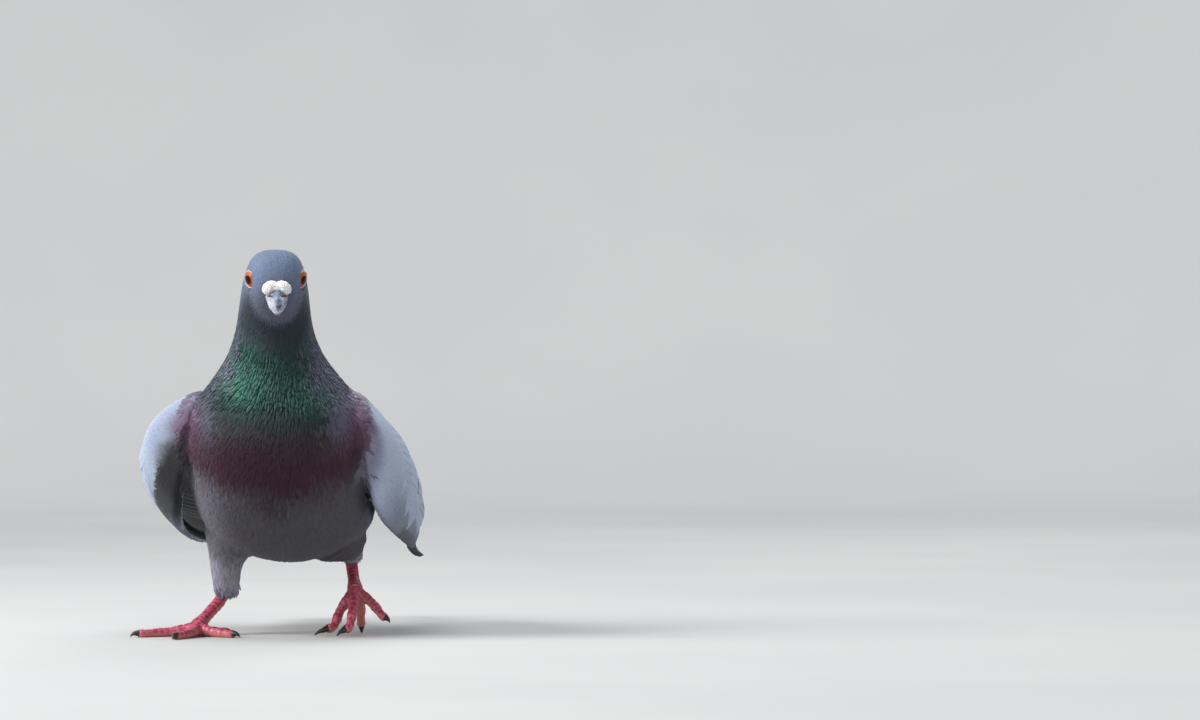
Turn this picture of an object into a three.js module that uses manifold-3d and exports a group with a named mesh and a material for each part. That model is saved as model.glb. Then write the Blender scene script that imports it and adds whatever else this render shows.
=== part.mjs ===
// A feral pigeon walking, life size: millimetres, +Z up, the bird facing -Y, the floor at z = 0.
// Flesh, wings and tail are made in the trunk's own frame, which a group then turns on the floor.
import * as THREE from "three";
import { mergeVertices } from "three/addons/utils/BufferGeometryUtils.js";
import Module from "manifold-3d";

const wasm = await Module();
wasm.setup();

// ---- Driving dimensions ----
const GAP = 0.3; // kept between pieces that touch
const RING_SIDES = 32; // points round a section of head, neck and trunk
const TRUNK_TURN = THREE.MathUtils.degToRad(-7); // the rear swings towards +X
const TRUNK_PIVOT = { x: 3, y: -45 };
const HEAD_TURN = THREE.MathUtils.degToRad(8.8); // against the trunk
const HEAD_PIVOT_Y = -38;
const HEAD_SHIFT = 0.3;

// Sections from face to tail coverts: back line y, z, underside y, z, half-width, squareness below.
const BODY = [
  [-69.6, 192.6, -66.4, 183.4, 5.6, 2.0],
  [-67.6, 201.0, -63.2, 177.8, 10.4, 2.0],
  [-61.5, 208.3, -60.2, 173.8, 13.7, 2.0],
  [-50.0, 213.2, -57.8, 171.0, 15.7, 2.1],
  [-38.0, 211.2, -56.0, 168.0, 17.3, 2.1],
  [-26.5, 203.2, -54.3, 164.0, 18.8, 2.1],
  [-19.5, 190.5, -53.0, 158.0, 20.2, 2.1],
  [-15.0, 177.5, -52.2, 150.5, 22.6, 2.1],
  [-10.0, 164.0, -52.8, 141.5, 27.8, 2.2],
  [-3.0, 151.5, -54.8, 130.5, 36.5, 2.3],
  [7.0, 141.5, -58.8, 118.5, 45.5, 2.4],
  [24.0, 134.5, -59.8, 101.0, 50.5, 2.6],
  [47.0, 127.5, -49.5, 77.5, 51.5, 2.9],
  [68.0, 121.0, -24.0, 56.0, 50.0, 3.1],
  [86.0, 114.5, 10.0, 46.0, 45.0, 3.0],
  [101.0, 106.0, 44.0, 52.5, 33.0, 2.6],
  [112.0, 99.0, 74.0, 65.0, 23.5, 2.3],
  [123.0, 92.5, 100.0, 73.5, 18.0, 2.1],
  [137.0, 85.5, 128.0, 77.5, 12.0, 2.0],
];
const HEAD_SPAN = [0, 6.5]; // places along BODY where the flesh is parted
const NECK_SPAN = [6.5, 9.6];
const TRUNK_SPAN = [9.6, 16];
const TAIL_SPAN = [16, 18];
const FACE_SPAN = [0, 3]; // where the bill and the cere grow
const PART = 0.035; // the later of two lengths starts this much further on
const ROOM_REACH = 0.3; // how much longer a length is made where it only leaves room
const RINGS_PER_STATION = 2.5;
const TOP_SQUARENESS = { body: 2.1, crown: 3, from: [0.5, 3], to: [5.5, 8.5] };
const TURN_SPAN = [6, 10]; // the head's turn fades out here

const EYE = { x: 10.0, y: -51, z: 199, radius: 6.5, forward: THREE.MathUtils.degToRad(34), up: -0.22 };
const LID = { distance: 5.2, radius: 4.4, tube: 0.8 };

const BILL_PATH = [[-60, 187.5], [-68, 186.6], [-74, 183.6], [-78, 180.2], [-80, 177.2]];
const BILL_UPPER = { width: [6.6, 6.2, 5.5, 4.3, 1.6], height: [4.4, 3.9, 3.1, 2.3, 1.0] };
const BILL_LOWER = { width: [6.2, 5.8, 5.0, 3.7, 1.2], height: [3.4, 3.0, 2.3, 1.6, 0.7] };
const CERE = { x: 3.7, y: -71.2, z: 191.8, radii: [4.9, 5.0, 3.7], tilt: THREE.MathUtils.degToRad(28) };
const NOSTRIL = { x: 4.2, y: -74.6, z: 188.4, radii: [2.2, 1.6, 0.5] };

// Wing sections from the wrist to the tip: y, then |x|, z of the upper edge, the bow and the hem.
// The right wing is held further out and higher than the left one.
const WING = [
  [-41, 48, 120, 52, 108, 50, 96],
  [-33, 46, 130, 62, 108, 54, 83],
  [-20, 43, 136, 70, 105, 57, 70],
  [10, 37, 139.5, 77, 98, 61, 57],
  [50, 24, 134.5, 76, 92, 62, 50],
  [90, 13, 125, 70, 84, 60, 45],
  [130, 32, 98, 62, 72, 56, 43],
  [165, 53, 57, 58, 50, 57, 44],
];
const WING_POSE = {
  right: { spread: 3, rise: 6, lift: 3, tipOut: 0 },
  left: { spread: -7, rise: 0, lift: 0, tipOut: 7.5 },
};
// The arm is solid; its skin sinks under the feather tiers towards its end.
const WING_ARM = { end: 0.54, top: 0.06, sink: 3.6, under: 10.5, rear: 9, hem: 9.5, steps: 6 };
const SHOULDER = { x: 41, y: -2, z: 116, radii: [12, 22, 13] };

// Feather tiers from the lowest up: primaries, secondaries with tertials, greater and median
// coverts. Roots and tips run evenly from the first feather to the last, each as y along the wing
// and v from the upper edge to the hem. Depth is under the wing's skin at root and tip. Tilt
// raises each vane's lower edge over the next, and stack sets each one further under the last.
const TIERS = [
  {
    count: 6, width: 15, depth: [6.6, 1.9], tilt: 0, stack: 0.95,
    roots: [[-2, 0.76], [12, 0.94]], tips: [[122, 0.6], [165, 0.95]],
  },
  {
    count: 9, width: 14.5, depth: [4.7, 0.7], tilt: 0.95, stack: 0,
    roots: [[28, 0.13], [-12, 0.7]], tips: [[118, 0.1], [70, 0.96]],
  },
  {
    count: 8, width: 14.5, depth: [4.3, -0.1], tilt: 0.95, stack: 0,
    roots: [[12, 0.12], [-22, 0.8]], tips: [[84, 0.1], [34, 0.97]],
  },
  {
    count: 7, width: 14.5, depth: [3.9, -0.9], tilt: 0.95, stack: 0,
    roots: [[-4, 0.12], [-28, 0.64]], tips: [[50, 0.12], [4, 0.84]],
  },
];
// Places along a vane, how far its tip's corners stay back, and its edges' thickness.
const VANE = { rows: [0, 0.42, 0.84, 1], corner: 0.05, thick: 0.6, tipThick: 0.5 };

const TAIL = { root: [104, 94], tip: [206, 53], rootHalf: 6, tipHalf: 18.5, round: 0.02 };
const TAIL_FEATHERS = { count: 12, width: 14, step: 0.95 };

// Leg points on the floor's own axes: x to the bird's left, y to its rear, z up.
const FOOT_BACK = { right: 8, left: 20 }; // how far back each foot is set
const LEGS = {
  right: {
    hip: [-26, 14, 58, 16],
    knee: [-29, 19, 39, 9.4],
    cuff: [-29, 23, 27, 8],
    ankle: [-31.5, 24, 20.5, 4.4],
    pad: [-45, 0, 4.4],
    toes: {
      outer: {
        path: [[-60, -1.5, 2.6], [-73, -6, 1.9]],
        claw: [[-78.5, -8, 2.0], [-81.5, -9, 0.5]],
      },
      middle: {
        path: [[-48.5, -14, 2.6], [-54.6, -28, 1.9]],
        claw: [[-56.6, -33.5, 2.0], [-57.6, -36.5, 0.5]],
      },
      inner: {
        path: [[-35.5, -6.5, 2.6], [-27.5, -13, 1.9]],
        claw: [[-23.5, -16, 2.0], [-21, -18, 0.5]],
      },
      hind: {
        path: [[-38, 6.5, 2.6], [-31.5, 11, 1.9]],
        claw: [[-28, 13, 2.0], [-25.5, 14.5, 0.5]],
      },
    },
  },
  left: {
    hip: [30, 16, 58, 16],
    knee: [37, 19, 52, 12],
    cuff: [40, 23, 47, 8.5],
    ankle: [41, 25, 42, 4.4],
    pad: [43, 0, 24],
    toes: {
      outer: {
        path: [[51.5, -3, 18.5], [57.5, -8, 11.5]],
        claw: [[60.6, -10.5, 9.2], [62, -12, 7.2]],
      },
      middle: {
        path: [[41.5, -10, 15], [39.7, -18, 5.8]],
        claw: [[35.8, -21.5, 3.2], [32.4, -24, 0.5]],
      },
      inner: {
        path: [[35.2, -2.5, 14.5], [31.2, -8, 5.6]],
        claw: [[25.5, -12.5, 3.2], [20, -15, 0.5]],
      },
      hind: {
        path: [[46, 8.5, 17], [46.4, 13.5, 8]],
        claw: [[46.8, 16.5, 3.4], [47, 19, -0.6]],
      },
    },
  },
};
const TOE_RADIUS = [2.9, 2.2];
const TARSUS_RADIUS = [3.2, 2.9];
const TARSUS_BEND = 0.8;
const PAD_RADIUS = 4.6;
const CLAW_RADIUS = [1.5, 0.7];
const SCUTE = { relief: 0.14, toe: 6, tarsus: 8 }; // relief is a share of the radius

// ---- Finishes ----
const finish = (color, roughness) => new THREE.MeshStandardMaterial({ color, roughness, metalness: 0 });
const FINISH = {
  head: finish(0x76859a, 0.8),
  neck: finish(0x3f6a5c, 0.5),
  trunk: finish(0x6c6f78, 0.85),
  flight: finish(0xa9adb7, 0.75),
  bill: finish(0x4a4548, 0.5),
  cere: finish(0xe6e2de, 0.9),
  eye: finish(0xc8641e, 0.1),
  scales: finish(0xb8475a, 0.6),
  claw: finish(0x1d1a1b, 0.4),
};

// ---- Mesh helpers ----
const vec = (x, y, z) => new THREE.Vector3(x, y, z);
const mix = THREE.MathUtils.lerp;
const smooth = THREE.MathUtils.smoothstep;

// One row of a table of sections, at a place between its rows.
function rowAt(table, place) {
  const last = table.length - 1;
  const i = Math.min(Math.floor(place), last - 1);
  const f = place - i;
  const [a, b, c, d] = [-1, 0, 1, 2].map((k) => table[THREE.MathUtils.clamp(i + k, 0, last)]);
  return b.map((value, k) => {
    const linear = c[k] - a[k];
    const square = 2 * a[k] - 5 * value + 4 * c[k] - d[k];
    const cube = 3 * (value - c[k]) + d[k] - a[k];
    return value + 0.5 * f * (linear + f * (square + f * cube));
  });
}

function geometryOf(points, faces) {
  const geometry = new THREE.BufferGeometry();
  const flat = points.flatMap((p) => [p.x, p.y, p.z]);
  geometry.setAttribute("position", new THREE.Float32BufferAttribute(flat, 3));
  geometry.setIndex(faces.flat());
  return geometry;
}

// A geometry as a solid that faces outwards.
function solidOf(geometry) {
  const bare = geometry.clone();
  bare.deleteAttribute("normal");
  bare.deleteAttribute("uv");
  const merged = mergeVertices(bare, 1e-4);
  const build = (triVerts) =>
    new wasm.Manifold(
      new wasm.Mesh({ numProp: 3, vertProperties: merged.attributes.position.array, triVerts }),
    );
  const faces = new Uint32Array(merged.index.array);
  const solid = build(faces);
  return solid.volume() > 0 ? solid : build(faces.reverse());
}

const middleOf = (ring) => ring.reduce((sum, p) => sum.add(p), vec(0, 0, 0)).divideScalar(ring.length);

// A closed skin over rings of equal length, each end closed by a fan round its middle.
function loft(rings) {
  const n = rings[0].length;
  const points = rings.flat();
  const faces = [];
  for (let r = 0; r < rings.length - 1; r++)
    for (let k = 0; k < n; k++) {
      const [a, b] = [r * n + k, r * n + ((k + 1) % n)];
      faces.push([a, b, b + n], [a, b + n, a + n]);
    }
  const start = points.push(middleOf(rings[0])) - 1;
  const end = points.push(middleOf(rings.at(-1))) - 1;
  const base = (rings.length - 1) * n;
  for (let k = 0; k < n; k++) {
    const next = (k + 1) % n;
    faces.push([start, next, k], [end, base + k, base + next]);
  }
  return solidOf(geometryOf(points, faces));
}

// A thin plate between two grids of points, split into triangles alike on both faces.
function plate(upper, lower) {
  const [rows, columns] = [upper.length, upper[0].length];
  const points = [...upper.flat(), ...lower.flat()];
  const top = (i, j) => i * columns + j;
  const low = (i, j) => rows * columns + top(i, j);
  const faces = [];
  for (let i = 0; i < rows - 1; i++)
    for (let j = 0; j < columns - 1; j++) {
      faces.push([top(i, j), top(i + 1, j), top(i + 1, j + 1)]);
      faces.push([top(i, j), top(i + 1, j + 1), top(i, j + 1)]);
      faces.push([low(i, j), low(i + 1, j + 1), low(i + 1, j)]);
      faces.push([low(i, j), low(i, j + 1), low(i + 1, j + 1)]);
    }
  const rim = [];
  for (let j = 0; j < columns; j++) rim.push([0, j]);
  for (let i = 1; i < rows; i++) rim.push([i, columns - 1]);
  for (let j = columns - 2; j >= 0; j--) rim.push([rows - 1, j]);
  for (let i = rows - 2; i > 0; i--) rim.push([i, 0]);
  rim.forEach(([i, j], k) => {
    const [p, q] = rim[(k + 1) % rim.length];
    faces.push([top(i, j), top(p, q), low(p, q)], [top(i, j), low(p, q), low(i, j)]);
  });
  return solidOf(geometryOf(points, faces));
}

function ellipsoid(centre, radii, segments = 20) {
  const geometry = new THREE.SphereGeometry(1, segments, Math.round(segments * 0.6));
  geometry.scale(...radii);
  geometry.translate(centre.x, centre.y, centre.z);
  return solidOf(geometry);
}

// The largest closed surface of a solid, with every hollow inside it filled.
function largest(solid) {
  const bodies = solid.decompose().filter((body) => body.volume() > 0);
  return bodies.reduce((best, body) => (body.volume() > best.volume() ? body : best));
}

function meshOf(name, solid, material) {
  const { numProp, vertProperties, triVerts } = largest(solid).getMesh();
  const geometry = new THREE.BufferGeometry();
  const positions = [];
  for (let i = 0; i < vertProperties.length; i += numProp) {
    positions.push(...vertProperties.slice(i, i + 3));
  }
  geometry.setAttribute("position", new THREE.Float32BufferAttribute(positions, 3));
  geometry.setIndex(new THREE.BufferAttribute(triVerts, 1));
  geometry.computeVertexNormals();
  const mesh = new THREE.Mesh(geometry, material);
  mesh.name = name;
  return mesh;
}

// ---- Head, neck, trunk ----
// A point of the head, whose own frame looks straight along -Y, in the trunk's frame.
function turned(point, share) {
  const angle = HEAD_TURN * share;
  const [x, y] = [point.x, point.y - HEAD_PIVOT_Y];
  return vec(
    x * Math.cos(angle) - y * Math.sin(angle) + HEAD_SHIFT * share,
    x * Math.sin(angle) + y * Math.cos(angle) + HEAD_PIVOT_Y,
    point.z,
  );
}

function bodyRing(place, grow) {
  const [backY, backZ, underY, underZ, half, square] = rowAt(BODY, place);
  const centre = vec(0, (backY + underY) / 2, (backZ + underZ) / 2);
  const up = vec(0, backY - underY, backZ - underZ).multiplyScalar(0.5);
  const reach = up.length() + grow;
  up.normalize();
  const share = 1 - smooth(place, ...TURN_SPAN);
  const crown = smooth(place, ...TOP_SQUARENESS.from) * (1 - smooth(place, ...TOP_SQUARENESS.to));
  const top = mix(TOP_SQUARENESS.body, TOP_SQUARENESS.crown, crown);
  return Array.from({ length: RING_SIDES }, (_, k) => {
    const angle = (2 * Math.PI * k) / RING_SIDES;
    const power = 2 / (Math.sin(angle) < 0 ? square : top);
    const across = Math.sign(Math.cos(angle)) * Math.abs(Math.cos(angle)) ** power * (half + grow);
    const rise = Math.sign(Math.sin(angle)) * Math.abs(Math.sin(angle)) ** power * reach;
    return turned(centre.clone().addScaledVector(up, rise).add(vec(across, 0, 0)), share);
  });
}

// A length of the flesh; the growth leaves room for a neighbour and lengthens its ends too.
function flesh([from, to], grow = 0) {
  const reach = grow ? ROOM_REACH : 0;
  const [start, end] = [Math.max(from - reach, 0), Math.min(to + reach, BODY.length - 1)];
  const steps = Math.round((end - start) * RINGS_PER_STATION);
  const rings = Array.from({ length: steps + 1 }, (_, k) => bodyRing(mix(start, end, k / steps), grow));
  const [face, next] = [middleOf(rings[0]), middleOf(rings[1])];
  const forward = face.clone().sub(next).setLength(grow);
  if (grow) rings[0] = rings[0].map((p) => p.clone().add(forward));
  return loft(rings);
}

const afterPart = ([from, to]) => [from + PART, to];

const headPoint = (x, y, z) => turned(vec(x, y, z), 1);

function eyeAxis(side) {
  const tip = headPoint(side * Math.cos(EYE.forward), -Math.sin(EYE.forward), EYE.up);
  return tip.sub(headPoint(0, 0, 0)).normalize();
}

const eyeCentre = (side) => headPoint(side * EYE.x, EYE.y, EYE.z);

function lid(side) {
  const ring = new THREE.TorusGeometry(LID.radius, LID.tube, 6, 16);
  ring.applyQuaternion(new THREE.Quaternion().setFromUnitVectors(vec(0, 0, 1), eyeAxis(side)));
  const centre = eyeCentre(side).addScaledVector(eyeAxis(side), LID.distance);
  ring.translate(centre.x, centre.y, centre.z);
  return solidOf(ring);
}

function head() {
  const socket = Array(3).fill(EYE.radius + GAP);
  return [-1, 1].reduce(
    (solid, side) => solid.add(lid(side)).subtract(ellipsoid(eyeCentre(side), socket, 16)),
    flesh(HEAD_SPAN),
  );
}

function eye(side) {
  return ellipsoid(eyeCentre(side), Array(3).fill(EYE.radius), 14);
}

// Half of the bill: sections over or under the mouth line, which follows the bill's path.
function billHalf({ width, height }, direction, grow = 0) {
  const sides = 12;
  const rings = BILL_PATH.map(([y, z], i) => {
    const [py, pz] = BILL_PATH[Math.max(i - 1, 0)];
    const [ny, nz] = BILL_PATH[Math.min(i + 1, BILL_PATH.length - 1)];
    const up = vec(0, -(nz - pz), ny - py).normalize().multiplyScalar(ny > py ? 1 : -1);
    return Array.from({ length: sides }, (_, k) => {
      const angle = (Math.PI * k) / (sides - 1);
      const across = Math.cos(angle) * (width[i] + grow);
      const rise = GAP / 2 - grow + Math.sin(angle) * (height[i] + 2 * grow);
      return headPoint(across, y + up.y * rise * direction, z + up.z * rise * direction);
    });
  });
  return loft(rings);
}

function cere() {
  const lobes = [-1, 1].map((side) => {
    const lobe = new THREE.SphereGeometry(1, 12, 7);
    lobe.scale(...CERE.radii);
    lobe.rotateY(side * CERE.tilt);
    const centre = headPoint(side * CERE.x, CERE.y, CERE.z);
    lobe.translate(centre.x, centre.y, centre.z);
    return solidOf(lobe);
  });
  const room = flesh(FACE_SPAN, GAP).add(billHalf(BILL_UPPER, 1, GAP));
  return lobes[0].add(lobes[1]).subtract(room);
}

function billUpper() {
  const slits = [-1, 1].map((side) =>
    ellipsoid(headPoint(side * NOSTRIL.x, NOSTRIL.y, NOSTRIL.z), NOSTRIL.radii, 8),
  );
  const half = billHalf(BILL_UPPER, 1).subtract(flesh(FACE_SPAN, GAP));
  return slits.reduce((bill, slit) => bill.subtract(slit), half);
}

// ---- Wings and tail ----
const SIDES = { right: -1, left: 1 };

// A point of a wing's outer surface: u from wrist to tip, v from the upper edge to the hem.
function wingPoint(name, u, v) {
  const [y, topX, topZ, bowX, bowZ, hemX, hemZ] = rowAt(WING, u * (WING.length - 1));
  const { spread, rise, lift, tipOut } = WING_POSE[name];
  const opened = smooth(u, 0, 0.3);
  const through = (top, bow, hem) => {
    const handle = 2 * bow - (top + hem) / 2;
    return (1 - v) ** 2 * top + 2 * v * (1 - v) * handle + v * v * hem;
  };
  const across = through(topX, bowX + spread * opened, hemX) + tipOut * smooth(u, 0.5, 1);
  return vec(SIDES[name] * across, y, through(topZ, bowZ + rise * opened, hemZ + lift * opened));
}

// The way out of the wing's surface.
function wingOut(name, u, v) {
  const step = 0.01;
  const [u0, u1] = [Math.max(u - step, 0), Math.min(u + step, 1)];
  const [v0, v1] = [Math.max(v - step, 0), Math.min(v + step, 1)];
  const along = wingPoint(name, u1, v).sub(wingPoint(name, u0, v));
  const down = wingPoint(name, u, v1).sub(wingPoint(name, u, v0));
  return down.cross(along).normalize().multiplyScalar(SIDES[name]);
}

// How far the arm's outer face and its inner face lie under the wing's skin.
const armTop = (u) => WING_ARM.sink * smooth(u, 0.16, WING_ARM.end);
const armUnder = (u, v) =>
  mix(WING_ARM.under + WING_ARM.rear * smooth(u, 0.1, WING_ARM.end), WING_ARM.hem, smooth(v, 0.45, 1));

// Where the arm's upper edge lies, a little under the wing's own.
const armEdge = (u) => WING_ARM.top * smooth(u, 0.22, WING_ARM.end);

// The place along the wing that lies at a given y.
function wingPlace(y) {
  const beyond = WING.findIndex((row) => row[0] > y);
  const i = beyond < 0 ? WING.length - 1 : Math.max(beyond, 1);
  const [before, after] = [WING[i - 1][0], WING[i][0]];
  return (i - 1 + (y - before) / (after - before)) / (WING.length - 1);
}

// A feather's width as a share of its widest, from root to tip.
const vaneShare = (t) => mix(0.5, 1, smooth(t, 0, 0.4)) * mix(1, 0.45, smooth(t, 0.84, 1));

// One vane on a surface: place(t) gives its middle, across(t) half its width as a step over the
// surface, and depth(t, q) how far under the surface it lies, q running from edge to edge.
function vane({ point, out, place, across, depth, columns }) {
  const grid = (under) =>
    VANE.rows.map((t, i) => {
      const atTip = i === VANE.rows.length - 1;
      return Array.from({ length: columns + 1 }, (_, j) => {
        const q = (2 * j) / columns - 1;
        const [a, b] = place(atTip ? t - VANE.corner * Math.abs(q) : t);
        const [da, db] = across(t);
        const sink = depth(t, q) + under * mix(VANE.thick, VANE.tipThick, t);
        return point(a + q * da, b + q * db).addScaledVector(out(a, b), -sink);
      });
    });
  return plate(grid(0), grid(1));
}

// The step over the wing's surface that leads a length in mm square to a feather's run.
function stepAcross(name, [u, v], [runU, runV], length) {
  const h = 0.005;
  const along = wingPoint(name, u + h, v).sub(wingPoint(name, u - h, v)).divideScalar(2 * h);
  const down = wingPoint(name, u, v + h).sub(wingPoint(name, u, v - h)).divideScalar(2 * h);
  const run = along.clone().multiplyScalar(runU).addScaledVector(down, runV).normalize();
  const side = run.clone().cross(along.clone().cross(down).normalize()).normalize();
  const [aa, ad, dd] = [along.dot(along), along.dot(down), down.dot(down)];
  const [sa, sd] = [side.dot(along), side.dot(down)];
  const scale = length / (aa * dd - ad * ad);
  const step = [(sa * dd - sd * ad) * scale, (sd * aa - sa * ad) * scale];
  return step[1] < 0 ? step.map((part) => -part) : step;
}

function wingVanes(name) {
  return TIERS.flatMap((tier) =>
    Array.from({ length: tier.count }, (_, i) => {
      const share = i / (tier.count - 1);
      const [root, tip] = [tier.roots, tier.tips].map(([first, last]) => [
        wingPlace(mix(first[0], last[0], share)),
        mix(first[1], last[1], share),
      ]);
      const run = [tip[0] - root[0], tip[1] - root[1]];
      const place = (t) => [mix(root[0], tip[0], t), mix(root[1], tip[1], t)];
      const halfWidth = (t) => (tier.width / 2) * vaneShare(t);
      return vane({
        point: (u, v) => wingPoint(name, u, v),
        out: (u, v) => wingOut(name, Math.min(u, 1), THREE.MathUtils.clamp(v, 0, 1)),
        place,
        across: (t) => stepAcross(name, place(t), run, halfWidth(t)),
        depth: (t, q) => mix(...tier.depth, t) + tier.stack * i - tier.tilt * q,
        columns: 2,
      });
    }),
  );
}

function wing(name, trunkRoom) {
  const [rows, columns] = [WING_ARM.steps, WING_ARM.steps];
  const grid = (under) =>
    Array.from({ length: rows + 1 }, (_, i) =>
      Array.from({ length: columns + 1 }, (_, j) => {
        const u = (WING_ARM.end * i) / rows;
        const v = mix(armEdge(u), 1, j / columns);
        const sink = under ? armUnder(u, v) : armTop(u);
        return wingPoint(name, u, v).addScaledVector(wingOut(name, u, v), -sink);
      }),
    );
  const shoulder = ellipsoid(vec(SIDES[name] * SHOULDER.x, SHOULDER.y, SHOULDER.z), SHOULDER.radii, 12);
  const arm = plate(grid(0), grid(1)).add(shoulder);
  return wingVanes(name).reduce((solid, feather) => solid.add(feather), arm).subtract(trunkRoom);
}

// Tail surface: t from root to tip, s from the right edge to the left.
function tailPoint(t, s) {
  const [y, z] = [0, 1].map((k) => mix(TAIL.root[k], TAIL.tip[k], t));
  return vec(s * mix(TAIL.rootHalf, TAIL.tipHalf, t), y, z);
}

// Twelve tail feathers, the middle pair on top and each next pair one step further down.
function tailFan() {
  const { count, width, step } = TAIL_FEATHERS;
  const out = vec(0, TAIL.root[1] - TAIL.tip[1], TAIL.tip[0] - TAIL.root[0]).normalize();
  return Array.from({ length: count }, (_, i) => {
    const s = (2 * i) / (count - 1) - 1;
    const fromMiddle = Math.abs(i - (count - 1) / 2) - 0.5;
    return vane({
      point: tailPoint,
      out: () => out,
      place: (t) => [t * (1 - TAIL.round * Math.abs(s)), s],
      across: (t) => [0, ((width / 2) * vaneShare(t)) / mix(TAIL.rootHalf, TAIL.tipHalf, t)],
      depth: () => step * fromMiddle,
      columns: 1,
    });
  }).reduce((fan, feather) => fan.add(feather));
}

// ---- Legs ----
// A point given on the floor's axes, in the trunk's frame.
function fromFloor(x, y, z) {
  const [dx, dy] = [x, y - TRUNK_PIVOT.y];
  const [c, s] = [Math.cos(-TRUNK_TURN), Math.sin(-TRUNK_TURN)];
  return vec(dx * c - dy * s + TRUNK_PIVOT.x, dx * s + dy * c + TRUNK_PIVOT.y, z);
}

// A limb along a curve, its radius given at each place.
function limb(points, radiusAt, steps, sides = 10) {
  const curve = new THREE.CatmullRomCurve3(points);
  const frames = curve.computeFrenetFrames(steps.length - 1, false);
  const rings = steps.map((t, i) => {
    const centre = curve.getPointAt(t);
    return Array.from({ length: sides }, (_, k) => {
      const angle = (2 * Math.PI * k) / sides;
      const p = centre
        .clone()
        .addScaledVector(frames.normals[i], Math.cos(angle) * radiusAt(t))
        .addScaledVector(frames.binormals[i], Math.sin(angle) * radiusAt(t));
      return p;
    });
  });
  return loft(rings);
}

// What is left of a solid above the floor, with a flat where it met it.
const onFloor = (solid) => solid.trimByPlane([0, 0, 1], 0);

const evenSteps = (count) => Array.from({ length: count + 1 }, (_, i) => i / count);

// Plates round a limb, each rising to its lower rim and then stepping down to the next.
function scuted(points, [thick, thin], plates, grow, sides) {
  const steps = [0];
  for (let k = 1; k <= plates; k++) steps.push((k - 0.12) / plates, k / plates);
  const radiusAt = (t) => {
    const inPlate = (t * plates) % 1;
    const relief = t >= 1 ? 0 : SCUTE.relief * (inPlate > 0.5 ? 1 : 0);
    return mix(thick, thin, t) * (1 + relief) + grow;
  };
  return limb(points, radiusAt, steps, sides);
}

// A point of a leg below the hip, moved back by a share of the way its foot is set back.
const legPoint = (name, [x, y, z], share = 1) => fromFloor(x, y + FOOT_BACK[name] * share, z);

function tarsus(name, grow = 0) {
  const { ankle, pad } = LEGS[name];
  const [top, low] = [legPoint(name, ankle), legPoint(name, pad)];
  const bend = top.clone().lerp(low, 0.5).add(vec(0, TARSUS_BEND, 0));
  const shin = scuted([top, bend, low], TARSUS_RADIUS, SCUTE.tarsus, grow, 10);
  const ball = (centre, radius) => ellipsoid(centre, Array(3).fill(radius + grow), 9);
  return onFloor(shin.add(ball(low, PAD_RADIUS)).add(ball(top, ankle[3])));
}

function toe(name, key, grow = 0) {
  const { pad, toes } = LEGS[name];
  const points = [pad, ...toes[key].path].map((point) => legPoint(name, point));
  const tip = points.at(-1);
  if (grow) tip.add(tip.clone().sub(points.at(-2)).setLength(grow));
  return onFloor(scuted(points, TOE_RADIUS, SCUTE.toe, grow, 7));
}

function claw(name, key) {
  const { path, claw: hook } = LEGS[name].toes[key];
  const points = [path.at(-1), ...hook].map((point) => legPoint(name, point));
  const whole = limb(points, (t) => mix(...CLAW_RADIUS, t), evenSteps(3), 6);
  return onFloor(whole).subtract(toe(name, key, GAP));
}

function thigh(name, trunkRoom) {
  const { hip, knee, cuff, ankle } = LEGS[name];
  const joints = [hip, knee, cuff, ankle];
  const points = joints.map((joint, i) => legPoint(name, joint, i / 3));
  const lengths = points.map((p, i) => (i ? p.distanceTo(points[i - 1]) : 0));
  const sum = (list) => list.reduce((all, length) => all + length);
  const places = lengths.map((_, i) => sum(lengths.slice(0, i + 1)) / sum(lengths));
  const radiusAt = (t) => {
    const i = Math.max(places.findIndex((place) => place >= t - 1e-6), 1);
    return mix(joints[i - 1][3], joints[i][3], (t - places[i - 1]) / (places[i] - places[i - 1]));
  };
  return limb(points, radiusAt, evenSteps(7), 12).subtract(trunkRoom).subtract(tarsus(name, GAP));
}

// ---- The bird ----
const bird = new THREE.Group();
const put = (name, solid, material) => bird.add(meshOf(name, solid, material));

const trunkRoom = flesh(TRUNK_SPAN, GAP);
const trunkEnd = flesh([TRUNK_SPAN[0], TRUNK_SPAN[1] - ROOM_REACH + PART / 2], GAP);
put("head", head(), FINISH.head);
put("neck", flesh(afterPart(NECK_SPAN)), FINISH.neck);
put("torso", flesh(afterPart(TRUNK_SPAN)), FINISH.trunk);
put("tail", flesh(afterPart(TAIL_SPAN)).add(tailFan()).subtract(trunkEnd), FINISH.flight);
put("bill_upper", billUpper(), FINISH.bill);
put("bill_lower", billHalf(BILL_LOWER, -1).subtract(flesh(FACE_SPAN, GAP)), FINISH.bill);
put("cere", cere(), FINISH.cere);

for (const [name, side] of Object.entries(SIDES)) {
  put(`eye_${name}`, eye(side), FINISH.eye);
  put(`wing_${name}`, wing(name, trunkRoom), FINISH.flight);
  put(`thigh_${name}`, thigh(name, trunkRoom), FINISH.trunk);
  put(`tarsus_${name}`, tarsus(name), FINISH.scales);
  let room = tarsus(name, GAP);
  for (const key of Object.keys(LEGS[name].toes)) {
    put(`toe_${key}_${name}`, toe(name, key).subtract(room), FINISH.scales);
    room = room.add(toe(name, key, GAP));
    put(`claw_${key}_${name}`, claw(name, key), FINISH.claw);
  }
}

// Turn the trunk's frame on the floor, then centre the bird's box over the origin.
bird.rotation.z = TRUNK_TURN;
const pivot = vec(TRUNK_PIVOT.x, TRUNK_PIVOT.y, 0).applyAxisAngle(vec(0, 0, 1), TRUNK_TURN);
bird.position.set(-pivot.x, TRUNK_PIVOT.y - pivot.y, 0);

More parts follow.
